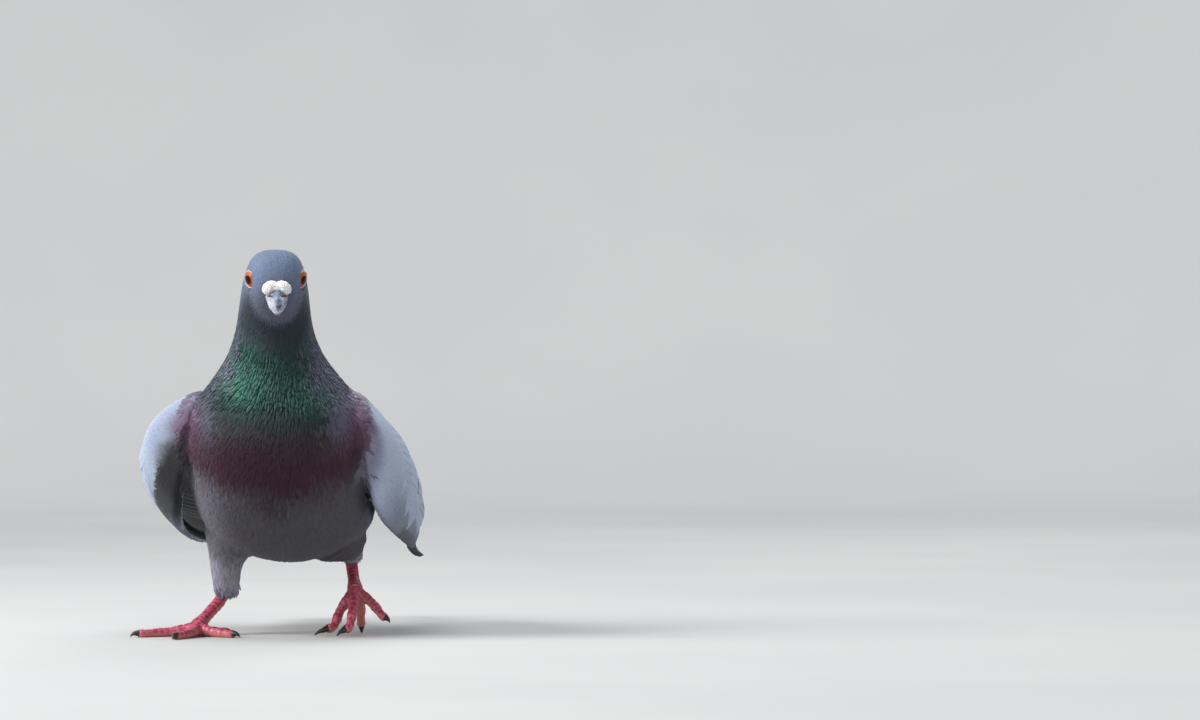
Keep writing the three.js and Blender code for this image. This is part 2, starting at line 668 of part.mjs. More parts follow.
const pigeon = new THREE.Group();
pigeon.add(bird);
const box = new THREE.Box3().setFromObject(pigeon, true);
const centre = box.getCenter(vec(0, 0, 0));
pigeon.position.set(-centre.x, -centre.y, -box.min.z);

export default pigeon;
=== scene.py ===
"""A walking feral pigeon, life size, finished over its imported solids.

Shapes are worked out in millimetres and stored in metres. The trunk's own frame has the bird
facing -Y; the trunk is turned a little on the floor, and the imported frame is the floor's frame
shifted so that the model's box stands over the origin.
"""

from __future__ import annotations

import logging
import math
from collections.abc import Callable, Sequence
from dataclasses import dataclass, field
from enum import Enum

import bpy
import numpy as np
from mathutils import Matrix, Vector, kdtree
from mathutils.bvhtree import BVHTree

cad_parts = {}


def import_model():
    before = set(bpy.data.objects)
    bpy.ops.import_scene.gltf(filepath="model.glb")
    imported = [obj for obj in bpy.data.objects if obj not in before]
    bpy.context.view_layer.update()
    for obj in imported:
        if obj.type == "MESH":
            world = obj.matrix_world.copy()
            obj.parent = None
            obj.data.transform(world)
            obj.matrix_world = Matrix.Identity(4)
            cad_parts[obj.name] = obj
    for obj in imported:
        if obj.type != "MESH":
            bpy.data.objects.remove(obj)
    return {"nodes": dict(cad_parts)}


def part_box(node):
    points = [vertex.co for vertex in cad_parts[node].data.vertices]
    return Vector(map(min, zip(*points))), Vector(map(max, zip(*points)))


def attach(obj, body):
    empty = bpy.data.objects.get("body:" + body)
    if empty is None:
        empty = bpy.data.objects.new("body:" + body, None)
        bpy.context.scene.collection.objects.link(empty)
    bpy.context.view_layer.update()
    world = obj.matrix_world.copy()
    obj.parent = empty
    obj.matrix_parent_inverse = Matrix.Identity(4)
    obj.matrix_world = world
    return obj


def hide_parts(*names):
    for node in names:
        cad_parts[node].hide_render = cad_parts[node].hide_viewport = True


Array = np.ndarray
Piece = bpy.types.Object
Material = bpy.types.Material
Pair = tuple[float, float]
Triple = tuple[float, float, float]
Colour = Triple
Row = tuple[float, ...]

LOG = logging.getLogger("pigeon")
MM = 0.001
UP = np.array([0.0, 0.0, 1.0])
MERGE = 1e-6
BAKE_SIZE = 0.003
OUTWARDS = {"inside": False}
PACKED_EYE = (10.0, -51.0, 199.0)


# ---------------- small tools


def smooth(value: Array | float, low: float, high: float) -> Array:
    """Rises smoothly from 0 at low to 1 at high."""
    share = np.clip((np.asarray(value, float) - low) / (high - low), 0.0, 1.0)
    return share * share * (3.0 - 2.0 * share)


def fade(value: Array | float, low: float, high: float) -> Array:
    """Falls smoothly from 1 at low to 0 at high."""
    return 1 - smooth(value, low, high)


def mix(first: Array | Row | float, last: Array | Row | float, share: Array | float) -> Array:
    """Blends from first to last."""
    return np.asarray(first) * (1.0 - share) + np.asarray(last) * share


def lay(below: Array | Colour, above: Array | Colour, share: Array) -> Array:
    """Lays one colour over another, by a share for each place."""
    return mix(below, above, np.clip(share, 0, 1)[:, None])


def unit(vectors: Array) -> Array:
    """Vectors scaled to length 1."""
    return vectors / np.maximum(np.linalg.norm(vectors, axis=-1, keepdims=True), 1e-9)


def paint(red: float, green: float, blue: float) -> Colour:
    """A colour on the usual 0 to 255 scale as linear light."""
    return tuple(((c / 255.0 + 0.055) / 1.055) ** 2.4 if c > 10 else c / 3294.6 for c in (red, green, blue))


def turns(count: int) -> Array:
    """Angles spaced evenly round a circle."""
    return np.arange(count) * math.tau / count


def rings(first: Array, second: Array, turn: Array) -> Array:
    """Ways out at each angle, for every point of a line with two ways across it."""
    return first[:, None] * np.cos(turn)[None, :, None] + second[:, None] * np.sin(turn)[None, :, None]


def spun(points: Array, angle: Array | float, start: Row = (0.0, 0.0), end: Row = (0.0, 0.0)) -> Array:
    """Points turned round the upright line through a start, which moves to an end.

    Args:
        points: The points.
        angle: The angle, or one for each point.
        start: Where the line stands, as x and y.
        end: Where it moves to.

    Returns:
        The turned points.
    """
    c, s = np.cos(angle), np.sin(angle)
    x, y = points[..., 0] - start[0], points[..., 1] - start[1]
    return np.stack([c * x - s * y + end[0], s * x + c * y + end[1], points[..., 2]], axis=-1)


def row_at(table: Array, place: Array) -> Array:
    """Rows of a table of sections at places between its rows, on smooth curves.

    Args:
        table: The rows.
        place: Row numbers with fractions.

    Returns:
        A row for each place.
    """
    last = len(table) - 1
    place = np.asarray(place, float)
    index = np.clip(np.floor(place).astype(int), 0, last - 1)
    f = (place - index)[..., None]
    a, b, c, d = (table[np.clip(index + k, 0, last)] for k in (-1, 0, 1, 2))
    return b + 0.5 * f * ((c - a) + f * ((2 * a - 5 * b + 4 * c - d) + f * (3 * (b - c) + d - a)))


def spline(points: Array, count: int) -> Array:
    """Evenly spaced points along a smooth curve through a few given ones.

    Args:
        points: Points that the curve passes.
        count: How many points are wanted.

    Returns:
        The points.
    """
    dense = row_at(np.asarray(points, float), np.linspace(0, len(points) - 1, 40 * len(points)))
    travelled = np.concatenate([[0], np.cumsum(np.linalg.norm(np.diff(dense, axis=0), axis=1))])
    wanted = np.linspace(0, travelled[-1], count)
    return np.stack([np.interp(wanted, travelled, dense[:, k]) for k in range(3)], axis=1)


# ---------------- frame and forms


@dataclass
class Frames:
    """Where the trunk's own frame and the floor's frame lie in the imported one."""

    turn: float = math.radians(-7.0)
    pivot: Pair = (3.0, -45.0)
    shift: Array = field(default_factory=lambda: np.zeros(3))

    def settle(self, eye_middle: Array) -> None:
        """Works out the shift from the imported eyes.

        Args:
            eye_middle: The middle between the eyes in the trunk's frame.
        """
        corners = [np.array(c) for side in ("left", "right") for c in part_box(f"eye_{side}")]
        packed = sum(corners) / len(corners) / MM
        self.shift = packed - self.trunk_to_floor(eye_middle)
        self.shift[2] = 0.0

    def trunk_to_floor(self, points: Array) -> Array:
        """Points of the trunk's frame on the floor's axes."""
        return spun(points, self.turn, self.pivot, (0.0, self.pivot[1]))

    def from_trunk(self, points: Array) -> Array:
        """Points of the trunk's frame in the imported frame."""
        return self.trunk_to_floor(np.asarray(points, float)) + self.shift

    def from_floor(self, points: Array) -> Array:
        """Points of the floor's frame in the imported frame."""
        return np.asarray(points, float) + self.shift

    def to_trunk(self, points: Array) -> Array:
        """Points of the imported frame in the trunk's."""
        return spun(points - self.shift, -self.turn, (0.0, self.pivot[1]), self.pivot)

    def turned(self, vectors: Array) -> Array:
        """Directions of the trunk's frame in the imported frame."""
        return spun(vectors, self.turn)


@dataclass
class BodyForm:
    """The flesh from face to tail as sections: back y, z, underside y, z, half-width, squareness."""

    sections: tuple[Row, ...] = (
        (-69.6, 192.6, -66.4, 183.4, 5.6, 2.0),
        (-67.6, 201.0, -63.2, 177.8, 10.4, 2.0),
        (-61.5, 208.3, -60.2, 173.8, 13.7, 2.0),
        (-50.0, 213.2, -57.8, 171.0, 15.7, 2.1),
        (-38.0, 211.2, -56.0, 168.0, 17.3, 2.1),
        (-26.5, 203.2, -54.3, 164.0, 18.8, 2.1),
        (-19.5, 190.5, -53.0, 158.0, 20.2, 2.1),
        (-15.0, 177.5, -52.2, 150.5, 22.6, 2.1),
        (-10.0, 164.0, -52.8, 141.5, 27.8, 2.2),
        (-3.0, 151.5, -54.8, 130.5, 36.5, 2.3),
        (7.0, 141.5, -58.8, 118.5, 45.5, 2.4),
        (24.0, 134.5, -59.8, 101.0, 50.5, 2.6),
        (47.0, 127.5, -49.5, 77.5, 51.5, 2.9),
        (68.0, 121.0, -24.0, 56.0, 50.0, 3.1),
        (86.0, 114.5, 10.0, 46.0, 45.0, 3.0),
        (101.0, 106.0, 44.0, 52.5, 33.0, 2.6),
        (112.0, 99.0, 74.0, 65.0, 23.5, 2.3),
        (123.0, 92.5, 100.0, 73.5, 18.0, 2.1),
        (137.0, 85.5, 128.0, 77.5, 12.0, 2.0),
    )
    head_turn: float = math.radians(8.8)
    head_pivot_y: float = -38.0
    head_shift: float = 0.3
    turn_span: Pair = (6.0, 10.0)
    top_squareness: float = 2.1
    crown_squareness: float = 2.9
    crown_from: Pair = (0.5, 3.0)
    crown_to: Pair = (5.5, 8.5)

    def head_turned(self, points: Array, share: Array | float) -> Array:
        """Points of the head, which looks straight along -Y in its own frame, in the trunk's frame.

        Args:
            points: Points in the head's frame.
            share: How much of the head's turn each point takes.

        Returns:
            The points in the trunk's frame.
        """
        share = np.asarray(share, float)
        middle = (0.0, self.head_pivot_y)
        return spun(points, self.head_turn * share, middle, (self.head_shift * share, middle[1]))

    def head_frame(self, points: Array) -> Array:
        """Points of the trunk's frame in the head's own, which looks straight along -Y."""
        start = (self.head_shift, self.head_pivot_y)
        return spun(points, -self.head_turn, start, (0.0, self.head_pivot_y))

    def grid(self, rows: int, sides: int) -> tuple[Array, Array]:
        """Places along all the sections and angles round them."""
        place = np.linspace(0, len(self.sections) - 1, rows)
        return np.meshgrid(place, turns(sides), indexing="ij")

    def surface(self, place: Array, angle: Array) -> Array:
        """Points of the flesh in the trunk's frame.

        Args:
            place: Place along the sections, 0 at the face.
            angle: Angle round a section, a quarter turn at the back line.

        Returns:
            The points.
        """
        place, angle = np.broadcast_arrays(np.asarray(place, float), np.asarray(angle, float))
        back_y, back_z, under_y, under_z, half, square = np.moveaxis(
            row_at(np.array(self.sections), place), -1, 0
        )
        c, s = np.cos(angle), np.sin(angle)
        crown = smooth(place, *self.crown_from) * fade(place, *self.crown_to)
        power = 2.0 / np.where(s < 0, square, mix(self.top_squareness, self.crown_squareness, crown))
        across = np.sign(c) * np.abs(c) ** power * half
        rise = np.sign(s) * np.abs(s) ** power / 2.0
        y = (back_y + under_y) / 2.0 + rise * (back_y - under_y)
        z = (back_z + under_z) / 2.0 + rise * (back_z - under_z)
        share = fade(place, *self.turn_span)
        return self.head_turned(np.stack([across, y, z], axis=-1), share)


class Side(Enum):
    """The bird's own sides, with the sign of x on each."""

    RIGHT = -1
    LEFT = 1

    @property
    def word(self) -> str:
        """The side as it stands in node names."""
        return self.name.lower()


@dataclass
class WingForm:
    """A wing's outer skin from wrist to tip: y, upper edge x, z, bow x, z and hem x, z."""

    side: Side
    spread: float
    rise: float
    lift: float
    tip_out: float
    sections: tuple[Row, ...] = (
        (-41, 48, 120, 52, 108, 50, 96),
        (-33, 46, 130, 62, 108, 54, 83),
        (-20, 43, 136, 70, 105, 57, 70),
        (10, 37, 139.5, 77, 98, 61, 57),
        (50, 24, 134.5, 76, 92, 62, 50),
        (90, 13, 125, 70, 84, 60, 45),
        (130, 32, 98, 62, 72, 56, 43),
        (165, 53, 57, 58, 50, 57, 44),
    )
    arm_end: float = 0.54
    arm_top: float = 0.06
    arm_sink: float = 3.6
    arm_under: float = 10.5
    arm_rear: float = 9.0
    arm_hem: float = 9.5
    arm_low: float = 1.0
    hand_end: float = 0.84
    hand_thick: float = 2.6

    def point(self, u: Array, v: Array) -> Array:
        """Points of the outer skin in the trunk's frame.

        Args:
            u: 0 at the wrist, 1 at the tip.
            v: 0 at the upper edge, 1 at the hem.

        Returns:
            The points.
        """
        u, v = np.broadcast_arrays(np.asarray(u, float), np.asarray(v, float))
        table = np.array(self.sections, float)
        y, top_x, top_z, bow_x, bow_z, hem_x, hem_z = np.moveaxis(row_at(table, u * (len(table) - 1)), -1, 0)
        opened = smooth(u, 0.0, 0.3)

        def through(top: Array, bow: Array, hem: Array) -> Array:
            """A curve from top to hem that passes the bow half way."""
            handle = 2 * bow - (top + hem) / 2
            return (1 - v) ** 2 * top + 2 * v * (1 - v) * handle + v * v * hem

        across = through(top_x, bow_x + self.spread * opened, hem_x) + self.tip_out * smooth(u, 0.5, 1.0)
        height = through(top_z, bow_z + self.rise * opened, hem_z + self.lift * opened)
        return np.stack([self.side.value * across, y, height], axis=-1)

    def slopes(self, u: Array, v: Array) -> tuple[Array, Array]:
        """How the skin runs with u and with v.

        Args:
            u: 0 at the wrist, 1 at the tip.
            v: 0 at the upper edge, 1 at the hem.

        Returns:
            The change of place with u and with v.
        """
        step = 0.006
        u, v = np.clip(u, 0.0, 1.0), np.clip(v, 0.0, 1.0)
        along = (self.point(u + step, v) - self.point(u - step, v)) / (2 * step)
        down = (self.point(u, v + step) - self.point(u, v - step)) / (2 * step)
        return along, down

    def out(self, u: Array, v: Array) -> Array:
        """The way out of the skin."""
        along, down = self.slopes(u, v)
        return unit(np.cross(down, along)) * self.side.value

    def place(self, y: float) -> float:
        """The u that lies at a y of the trunk's frame."""
        rows = np.array(self.sections)[:, 0]
        return float(np.interp(y, rows, np.arange(len(rows)))) / (len(rows) - 1)

    def arm_grid(self, count: int) -> tuple[Array, Array]:
        """Places u and v over the arm and the hand, which reaches further back along the hem.

        Args:
            count: Places each way.

        Returns:
            The u and the v of each place.
        """
        share = np.linspace(0, 1, count)
        v = np.broadcast_to(share[None, :], (count, count))
        end = mix(self.arm_end, self.hand_end, smooth(v, 0.5, 0.92))
        u = share[:, None] * end
        return u, mix(self.arm_top * smooth(u, 0.22, self.arm_end), 1.0, v)

    def arm_depth(self, u: Array, v: Array, under: bool) -> Array:
        """How far the arm's outer or inner face lies under the skin.

        Args:
            u: 0 at the wrist, 1 at the tip.
            v: 0 at the upper edge, 1 at the hem.
            under: Whether it is the inner face.

        Returns:
            The depth at each place.
        """
        outer = self.arm_sink * smooth(u, 0.28, self.arm_end) * (1 - 0.9 * smooth(v, 0.7, 0.9))
        if not under:
            return outer
        thick = self.arm_under + self.arm_rear * smooth(u, 0.1, self.arm_end)
        thick = mix(thick, self.arm_hem, smooth(v, 0.35, self.arm_low))
        slim = smooth(u, 0.25, self.hand_end) * smooth(v, 0.45, 0.8)
        return mix(thick, outer + self.hand_thick, slim)

    def arm(self, count: int, under: bool) -> Array:
        """A grid of points on the arm's outer or inner face."""
        u, v = self.arm_grid(count)
        return self.point(u, v) - self.out(u, v) * self.arm_depth(u, v, under)[..., None]


BODY = BodyForm()
WINGS = {
    Side.RIGHT: WingForm(Side.RIGHT, spread=3.0, rise=6.0, lift=3.0, tip_out=0.0),
    Side.LEFT: WingForm(
        Side.LEFT, spread=-7.0, rise=0.0, lift=0.0, tip_out=7.5, arm_under=15.5, arm_low=0.75
    ),
}
FRAMES = Frames()


# ---------------- shader tools


class Value:
    """A node socket that Python operators turn into Math nodes."""

    def __init__(self, nodes: Nodes, socket: bpy.types.NodeSocket) -> None:
        """Keeps the socket and the tree it belongs to."""
        self.nodes = nodes
        self.socket = socket

    def math(self, operation: str, first: object, second: object = 0.0) -> Value:
        """Adds a Math node and gives its result."""
        return self.nodes.node("ShaderNodeMath", {"operation": operation}, {0: first, 1: second})

    def __add__(self, other: object) -> Value:
        """Adds."""
        return self.math("ADD", self, other)

    __radd__ = __add__

    def __sub__(self, other: object) -> Value:
        """Subtracts."""
        return self.math("SUBTRACT", self, other)

    def __rsub__(self, other: object) -> Value:
        """Subtracts the value from a number."""
        return self.math("SUBTRACT", other, self)

    def __mul__(self, other: object) -> Value:
        """Multiplies."""
        return self.math("MULTIPLY", self, other)

    __rmul__ = __mul__

    def __pow__(self, other: float) -> Value:
        """Raises to a power."""
        return self.math("POWER", self, other)

    def wave(self, scale: object) -> Value:
        """A sine wave of the value from 0 to 1."""
        return self.math("SINE", self * scale) * 0.5 + 0.5

    def apart(self, middle: float) -> Value:
        """How far the value is from a middle."""
        return self.math("ABSOLUTE", self - middle)

    def step(self, low: float, high: float) -> Value:
        """Rises smoothly from 0 at low to 1 at high."""
        sockets = {0: self, 1: low, 2: high, 3: 0.0, 4: 1.0}
        return self.nodes.node("ShaderNodeMapRange", {"interpolation_type": "SMOOTHSTEP"}, sockets)


class Nodes:
    """A material's node tree round one Principled shader."""

    def __init__(self, name: str) -> None:
        """Makes the material with an empty tree and its shader.

        Args:
            name: The material's name.
        """
        self.material = bpy.data.materials.new(name)
        self.material.use_nodes = True
        self.tree = self.material.node_tree
        self.shader = next(n for n in self.tree.nodes if n.type == "BSDF_PRINCIPLED")

    def node(
        self,
        kind: str,
        settings: dict[str, object] | None = None,
        sockets: dict[int | str, object] | None = None,
        output: int | str = 0,
    ) -> Value:
        """Adds a node of any kind.

        Args:
            kind: Blender's name for the node type.
            settings: The node's own settings, set first.
            sockets: Numbers, colours or other nodes' results for its inputs.
            output: Which of its results is wanted.

        Returns:
            The result.
        """
        node = self.tree.nodes.new(kind)
        for key, value in (settings or {}).items():
            setattr(node, key, value)
        for key, value in (sockets or {}).items():
            self.feed(node.inputs[key], value)
        return Value(self, node.outputs[output])

    def feed(self, socket: bpy.types.NodeSocket, value: object) -> None:
        """Links a result to a socket, or sets it to a number or colour.

        Args:
            socket: The socket.
            value: What it gets.
        """
        if isinstance(value, Value):
            self.tree.links.new(value.socket, socket)
        elif isinstance(value, tuple) and socket.type == "RGBA" and len(value) == 3:
            socket.default_value = (*value, 1.0)
        else:
            socket.default_value = value

    def blend(self, share: object, first: object, last: object, kind: str = "MIX") -> Value:
        """Mixes two colours."""
        settings = {"data_type": "RGBA", "blend_type": kind, "clamp_factor": True}
        return self.node("ShaderNodeMix", settings, {0: share, 6: first, 7: last}, 2)

    def tint(self, colour: object, light: object) -> Value:
        """A colour times another."""
        return self.blend(1.0, colour, light, "MULTIPLY")

    def grey(self, light: Value) -> Value:
        """The grey of a brightness."""
        return self.node("ShaderNodeCombineColor", sockets={0: light, 1: light, 2: light})

    def place(self) -> Value:
        """The place on the object."""
        return self.node("ShaderNodeTexCoord", output="Object")

    def attribute(self, name: str, output: str) -> Value:
        """A colour or number kept on the mesh."""
        return self.node("ShaderNodeAttribute", {"attribute_name": name}, output=output)

    def noise(self, scale: float, detail: float = 2.0, where: Value | None = None) -> Value:
        """Soft noise of the object's place, by features per metre."""
        sockets = {"Vector": where or self.place(), "Scale": scale, "Detail": detail}
        return self.node("ShaderNodeTexNoise", {"noise_dimensions": "3D"}, sockets)

    def split(self, vector: Value) -> list[Value]:
        """The three parts of a vector."""
        node = self.node("ShaderNodeSeparateXYZ", sockets={0: vector}).socket.node
        return [Value(self, output) for output in node.outputs]

    def bump(self, height: object, strength: float, distance: float) -> Value:
        """A bump from a height.

        Args:
            height: Where the height comes from.
            strength: How much of it shows.
            distance: Its full height.

        Returns:
            The normal.
        """
        return self.node(
            "ShaderNodeBump", sockets={"Height": height, "Strength": strength, "Distance": distance}
        )

    def shade(self, **sockets: object) -> Material:
        """Sets the shader's sockets, by names with spaces as underscores, and gives the material.

        Args:
            **sockets: What the sockets get.

        Returns:
            The material.
        """
        for name, value in sockets.items():
            self.feed(self.shader.inputs[name.replace("_", " ")], value)
        return self.material


# ---------------- finishes


@dataclass(frozen=True)
class FeatherFinish:
    """Feathers painted by the mesh's own colours, with barbs, shaft and fringe by their own map."""

    name: str
    barb_count: float
    slope: float = 0.35
    barb_depth: float = 0.00012
    shaft: float = 0.25
    fringe: float = 0.15
    root_shade: float = 0.55
    sheen: float = 0.25
    rough: float = 0.62
    gleam: float = 0.18
    bar: Colour = paint(32, 32, 39)

    def material(self) -> Material:
        """The finish as a material.

        Returns:
            The material.
        """
        n = Nodes(self.name)
        across, along, _ = n.split(n.node("ShaderNodeUVMap", {"uv_map": "Vane"}))
        gloss = n.attribute("gloss", "Fac")
        side = across.apart(0.5)
        grain = n.noise(900.0, 3.0)
        inside = n.attribute("bar", "Fac") + (grain - 0.5) * 0.14
        base = n.blend(inside.step(0.1, 0.28), n.attribute("plumage", "Color"), self.bar)
        slant = along * self.barb_count - side * self.slope + grain * 1.6
        barbs = slant.wave(2 * math.pi)
        shaft = 1 - side.step(0.0, 0.06)
        edge = side.step(0.3, 0.5)
        light = 1 - (1 - along.step(0.0, 0.45)) * (1 - self.root_shade)
        light = light * (1 - (1 - barbs) * 0.22) * (1 - shaft * self.shaft) * (grain * 0.3 + 0.85)
        colour = n.tint(base, n.grey(light))
        lit = n.tint(colour, (1.35, 1.35, 1.4))
        colour = n.blend(edge * self.fringe, colour, lit)
        height = barbs * 0.5 + shaft * 0.8
        return n.shade(
            Base_Color=colour,
            Roughness=self.rough - gloss * 0.3 + (1 - barbs) * 0.08,
            Metallic=gloss * 0.5,
            Normal=n.bump(height, 0.4, self.barb_depth),
            Sheen_Weight=self.sheen,
            Sheen_Roughness=0.4,
            Sheen_Tint=(0.8, 0.85, 1.0, 1.0),
            Specular_IOR_Level=self.gleam,
        )


@dataclass(frozen=True)
class SkinFinish:
    """What lies between the feathers: the same markings, darker and woolly."""

    name: str = "down"

    def material(self) -> Material:
        """The finish as a material.

        Returns:
            The material.
        """
        n = Nodes(self.name)
        fluff = n.noise(1400.0, 4.0)
        return n.shade(
            Base_Color=n.tint(n.attribute("plumage", "Color"), n.grey(fluff * 0.4 + 0.6)),
            Roughness=fluff * 0.2 + 0.7,
            Normal=n.bump(fluff, 0.5, 0.0002),
            Sheen_Weight=0.1,
        )


@dataclass(frozen=True)
class HornFinish:
    """Horn of the bill: slate blue ridge, chalky sides and dark slits, by the mesh's own tones."""

    name: str = "bill_horn_grain"
    pale: Colour = paint(158, 160, 170)
    middle: Colour = paint(88, 102, 124)
    ridge: Colour = paint(38, 51, 73)
    slit: Colour = paint(16, 14, 16)
    rough: float = 0.42

    def material(self) -> Material:
        """The finish as a material.

        Returns:
            The material.
        """
        n = Nodes(self.name)
        where = n.place()
        along = n.node("ShaderNodeMapping", sockets={0: where, "Scale": (1.0, 0.35, 0.5)})
        streak = n.noise(1500.0, 3.0, along)
        cloud = n.noise(420.0, 3.0)
        tone = n.attribute("tone", "Fac") + (cloud - 0.5) * 1.1
        colour = n.blend(tone.step(0.05, 0.5), self.pale, self.middle)
        colour = n.blend(tone.step(0.5, 0.95), colour, self.ridge)
        colour = n.blend(streak.step(0.5, 0.8) * 0.3, colour, self.pale)
        colour = n.blend(n.attribute("slit", "Fac"), colour, self.slit)
        return n.shade(
            Base_Color=colour,
            Roughness=streak * 0.25 + self.rough - 0.1,
            Normal=n.bump(streak, 0.35, 0.00025),
            Specular_IOR_Level=0.5,
        )


@dataclass(frozen=True)
class CereFinish:
    """Chalky white skin with fine pale wrinkles."""

    name: str = "chalk_skin"
    white: Colour = paint(236, 234, 234)
    crease: Colour = paint(176, 168, 172)
    powder: Colour = paint(214, 206, 206)
    shadow: Colour = paint(120, 134, 156)

    def material(self) -> Material:
        """The finish as a material.

        Returns:
            The material.
        """
        n = Nodes(self.name)
        cell = n.node(
            "ShaderNodeTexVoronoi", {"feature": "DISTANCE_TO_EDGE"}, {"Vector": n.place(), "Scale": 950.0}
        )
        grain = n.noise(2600.0, 4.0)
        fold = 1 - cell.step(0.0, 0.16)
        colour = n.blend(fold * 0.55, self.white, self.crease)
        colour = n.blend(grain.step(0.5, 0.75) * 0.2, colour, self.powder)
        colour = n.blend(n.attribute("tone", "Fac") * 0.85, colour, self.shadow)
        return n.shade(
            Base_Color=colour,
            Roughness=grain * 0.2 + 0.55,
            Normal=n.bump(cell.step(0.0, 0.3) + grain * 0.3, 0.5, 0.0003),
            Subsurface_Weight=0.08,
            Subsurface_Scale=0.001,
        )


@dataclass(frozen=True)
class EyeFinish:
    """Iris and pupil by the angle from the way the eye looks, under a wet coat."""

    name: str
    centre: Triple
    gaze: Triple
    pupil: float = math.cos(math.radians(20.5))
    iris: float = math.cos(math.radians(45.0))
    rust: Colour = paint(160, 70, 28)
    orange: Colour = paint(190, 100, 48)
    amber: Colour = paint(206, 146, 84)
    rim: Colour = paint(120, 44, 18)
    black: Colour = paint(6, 4, 5)
    white: Colour = paint(92, 98, 112)

    def material(self) -> Material:
        """The finish as a material.

        Returns:
            The material.
        """
        n = Nodes(self.name)
        away = n.node(
            "ShaderNodeVectorMath", {"operation": "SUBTRACT"}, {0: n.place(), 1: self.centre}
        )
        way = n.node("ShaderNodeVectorMath", {"operation": "NORMALIZE"}, {0: away})
        facing = n.node(
            "ShaderNodeVectorMath", {"operation": "DOT_PRODUCT"}, {0: way, 1: self.gaze}, "Value"
        )
        fibre = n.noise(2200.0, 4.0)
        outer = 1 - facing.step(self.iris, self.iris + 0.16)
        colour = n.blend(fibre.step(0.3, 0.7), self.rust, self.orange)
        colour = n.blend(outer * 0.7, colour, self.amber)
        ring = facing.step(self.pupil - 0.06, self.pupil - 0.01)
        colour = n.blend(ring * 0.55, colour, self.rim)
        colour = n.blend(facing.step(self.pupil - 0.01, self.pupil + 0.004), colour, self.black)
        colour = n.blend(1 - facing.step(self.iris - 0.03, self.iris + 0.02), colour, self.white)
        return n.shade(
            Base_Color=colour, Roughness=0.4, Specular_IOR_Level=0.12, Coat_Weight=0.08, Coat_Roughness=0.03
        )


@dataclass(frozen=True)
class ScaleFinish:
    """Red scaly skin of the legs, pale between the plates, by the mesh's own marks."""

    name: str = "leg_scales_skin"
    plate: Colour = paint(150, 34, 58)
    bright: Colour = paint(190, 82, 110)
    seam: Colour = paint(206, 150, 164)
    pad: Colour = paint(186, 108, 104)

    def material(self) -> Material:
        """The finish as a material.

        Returns:
            The material.
        """
        n = Nodes(self.name)
        seam = n.attribute("seam", "Fac")
        sole = n.attribute("sole", "Fac")
        cloud = n.noise(420.0, 3.0)
        grain = n.noise(2600.0, 4.0)
        colour = n.blend(cloud.step(0.35, 0.68), self.plate, self.bright)
        colour = n.blend(sole, colour, self.pad)
        colour = n.blend(seam * (cloud * 0.7 + 0.15), colour, self.seam)
        colour = n.blend(grain.step(0.55, 0.8) * 0.35, colour, self.seam)
        return n.shade(
            Base_Color=colour,
            Roughness=grain * 0.25 + 0.36,
            Normal=n.bump(grain, 0.4, 0.0002),
            Subsurface_Weight=0.06,
            Subsurface_Scale=0.001,
        )


@dataclass(frozen=True)
class ClawFinish:
    """Near-black horn with brown lights along it."""

    name: str = "claw_horn_gloss"
    black: Colour = paint(26, 22, 22)
    brown: Colour = paint(96, 72, 62)

    def material(self) -> Material:
        """The finish as a material.

        Returns:
            The material.
        """
        n = Nodes(self.name)
        streak = n.noise(1300.0, 3.0)
        colour = n.blend(streak.step(0.45, 0.75), self.black, self.brown)
        return n.shade(
            Base_Color=colour, Roughness=streak * 0.25 + 0.25, Normal=n.bump(streak, 0.3, 0.0002)
        )


@dataclass(frozen=True)
class LidFinish:
    """Bare skin round the eye, pale grey to flesh pink, finely beaded."""

    name: str = "eye_ring_skin"
    pale: Colour = paint(176, 170, 172)
    pink: Colour = paint(206, 150, 140)
    bead: Colour = paint(120, 108, 112)

    def material(self) -> Material:
        """The finish as a material.

        Returns:
            The material.
        """
        n = Nodes(self.name)
        beads = n.node("ShaderNodeTexVoronoi", sockets={"Vector": n.place(), "Scale": 1500.0})
        cloud = n.noise(500.0)
        colour = n.blend(cloud.step(0.4, 0.65), self.pale, self.pink)
        colour = n.blend(beads.step(0.3, 0.7) * 0.3, colour, self.bead)
        return n.shade(Base_Color=colour, Roughness=0.5 + cloud * 0.1, Normal=n.bump(beads, 0.4, 0.0002))


@dataclass(frozen=True)
class FloorFinish:
    """Plain pale studio floor with the faintest mottle, glowing further from the bird."""

    name: str = "studio_floor"
    dull: Colour = paint(178, 178, 178)
    light: Colour = paint(184, 184, 183)

    def material(self) -> Material:
        """The finish as a material.

        Returns:
            The material.
        """
        n = Nodes(self.name)
        cloud = n.noise(3.0)
        colour = n.blend(cloud.step(0.3, 0.7), self.dull, self.light)
        x, y, _ = n.split(n.place())
        away = (x * x + y * y) ** 0.5
        # A painted glow on the far floor brightens the backdrop and lights the bird softly.
        glow = n.grey(away.step(1.0, 3.2))
        return n.shade(
            Base_Color=colour, Roughness=0.85 + cloud * 0.1, Emission_Color=glow, Emission_Strength=0.3
        )


# ---------------- markings


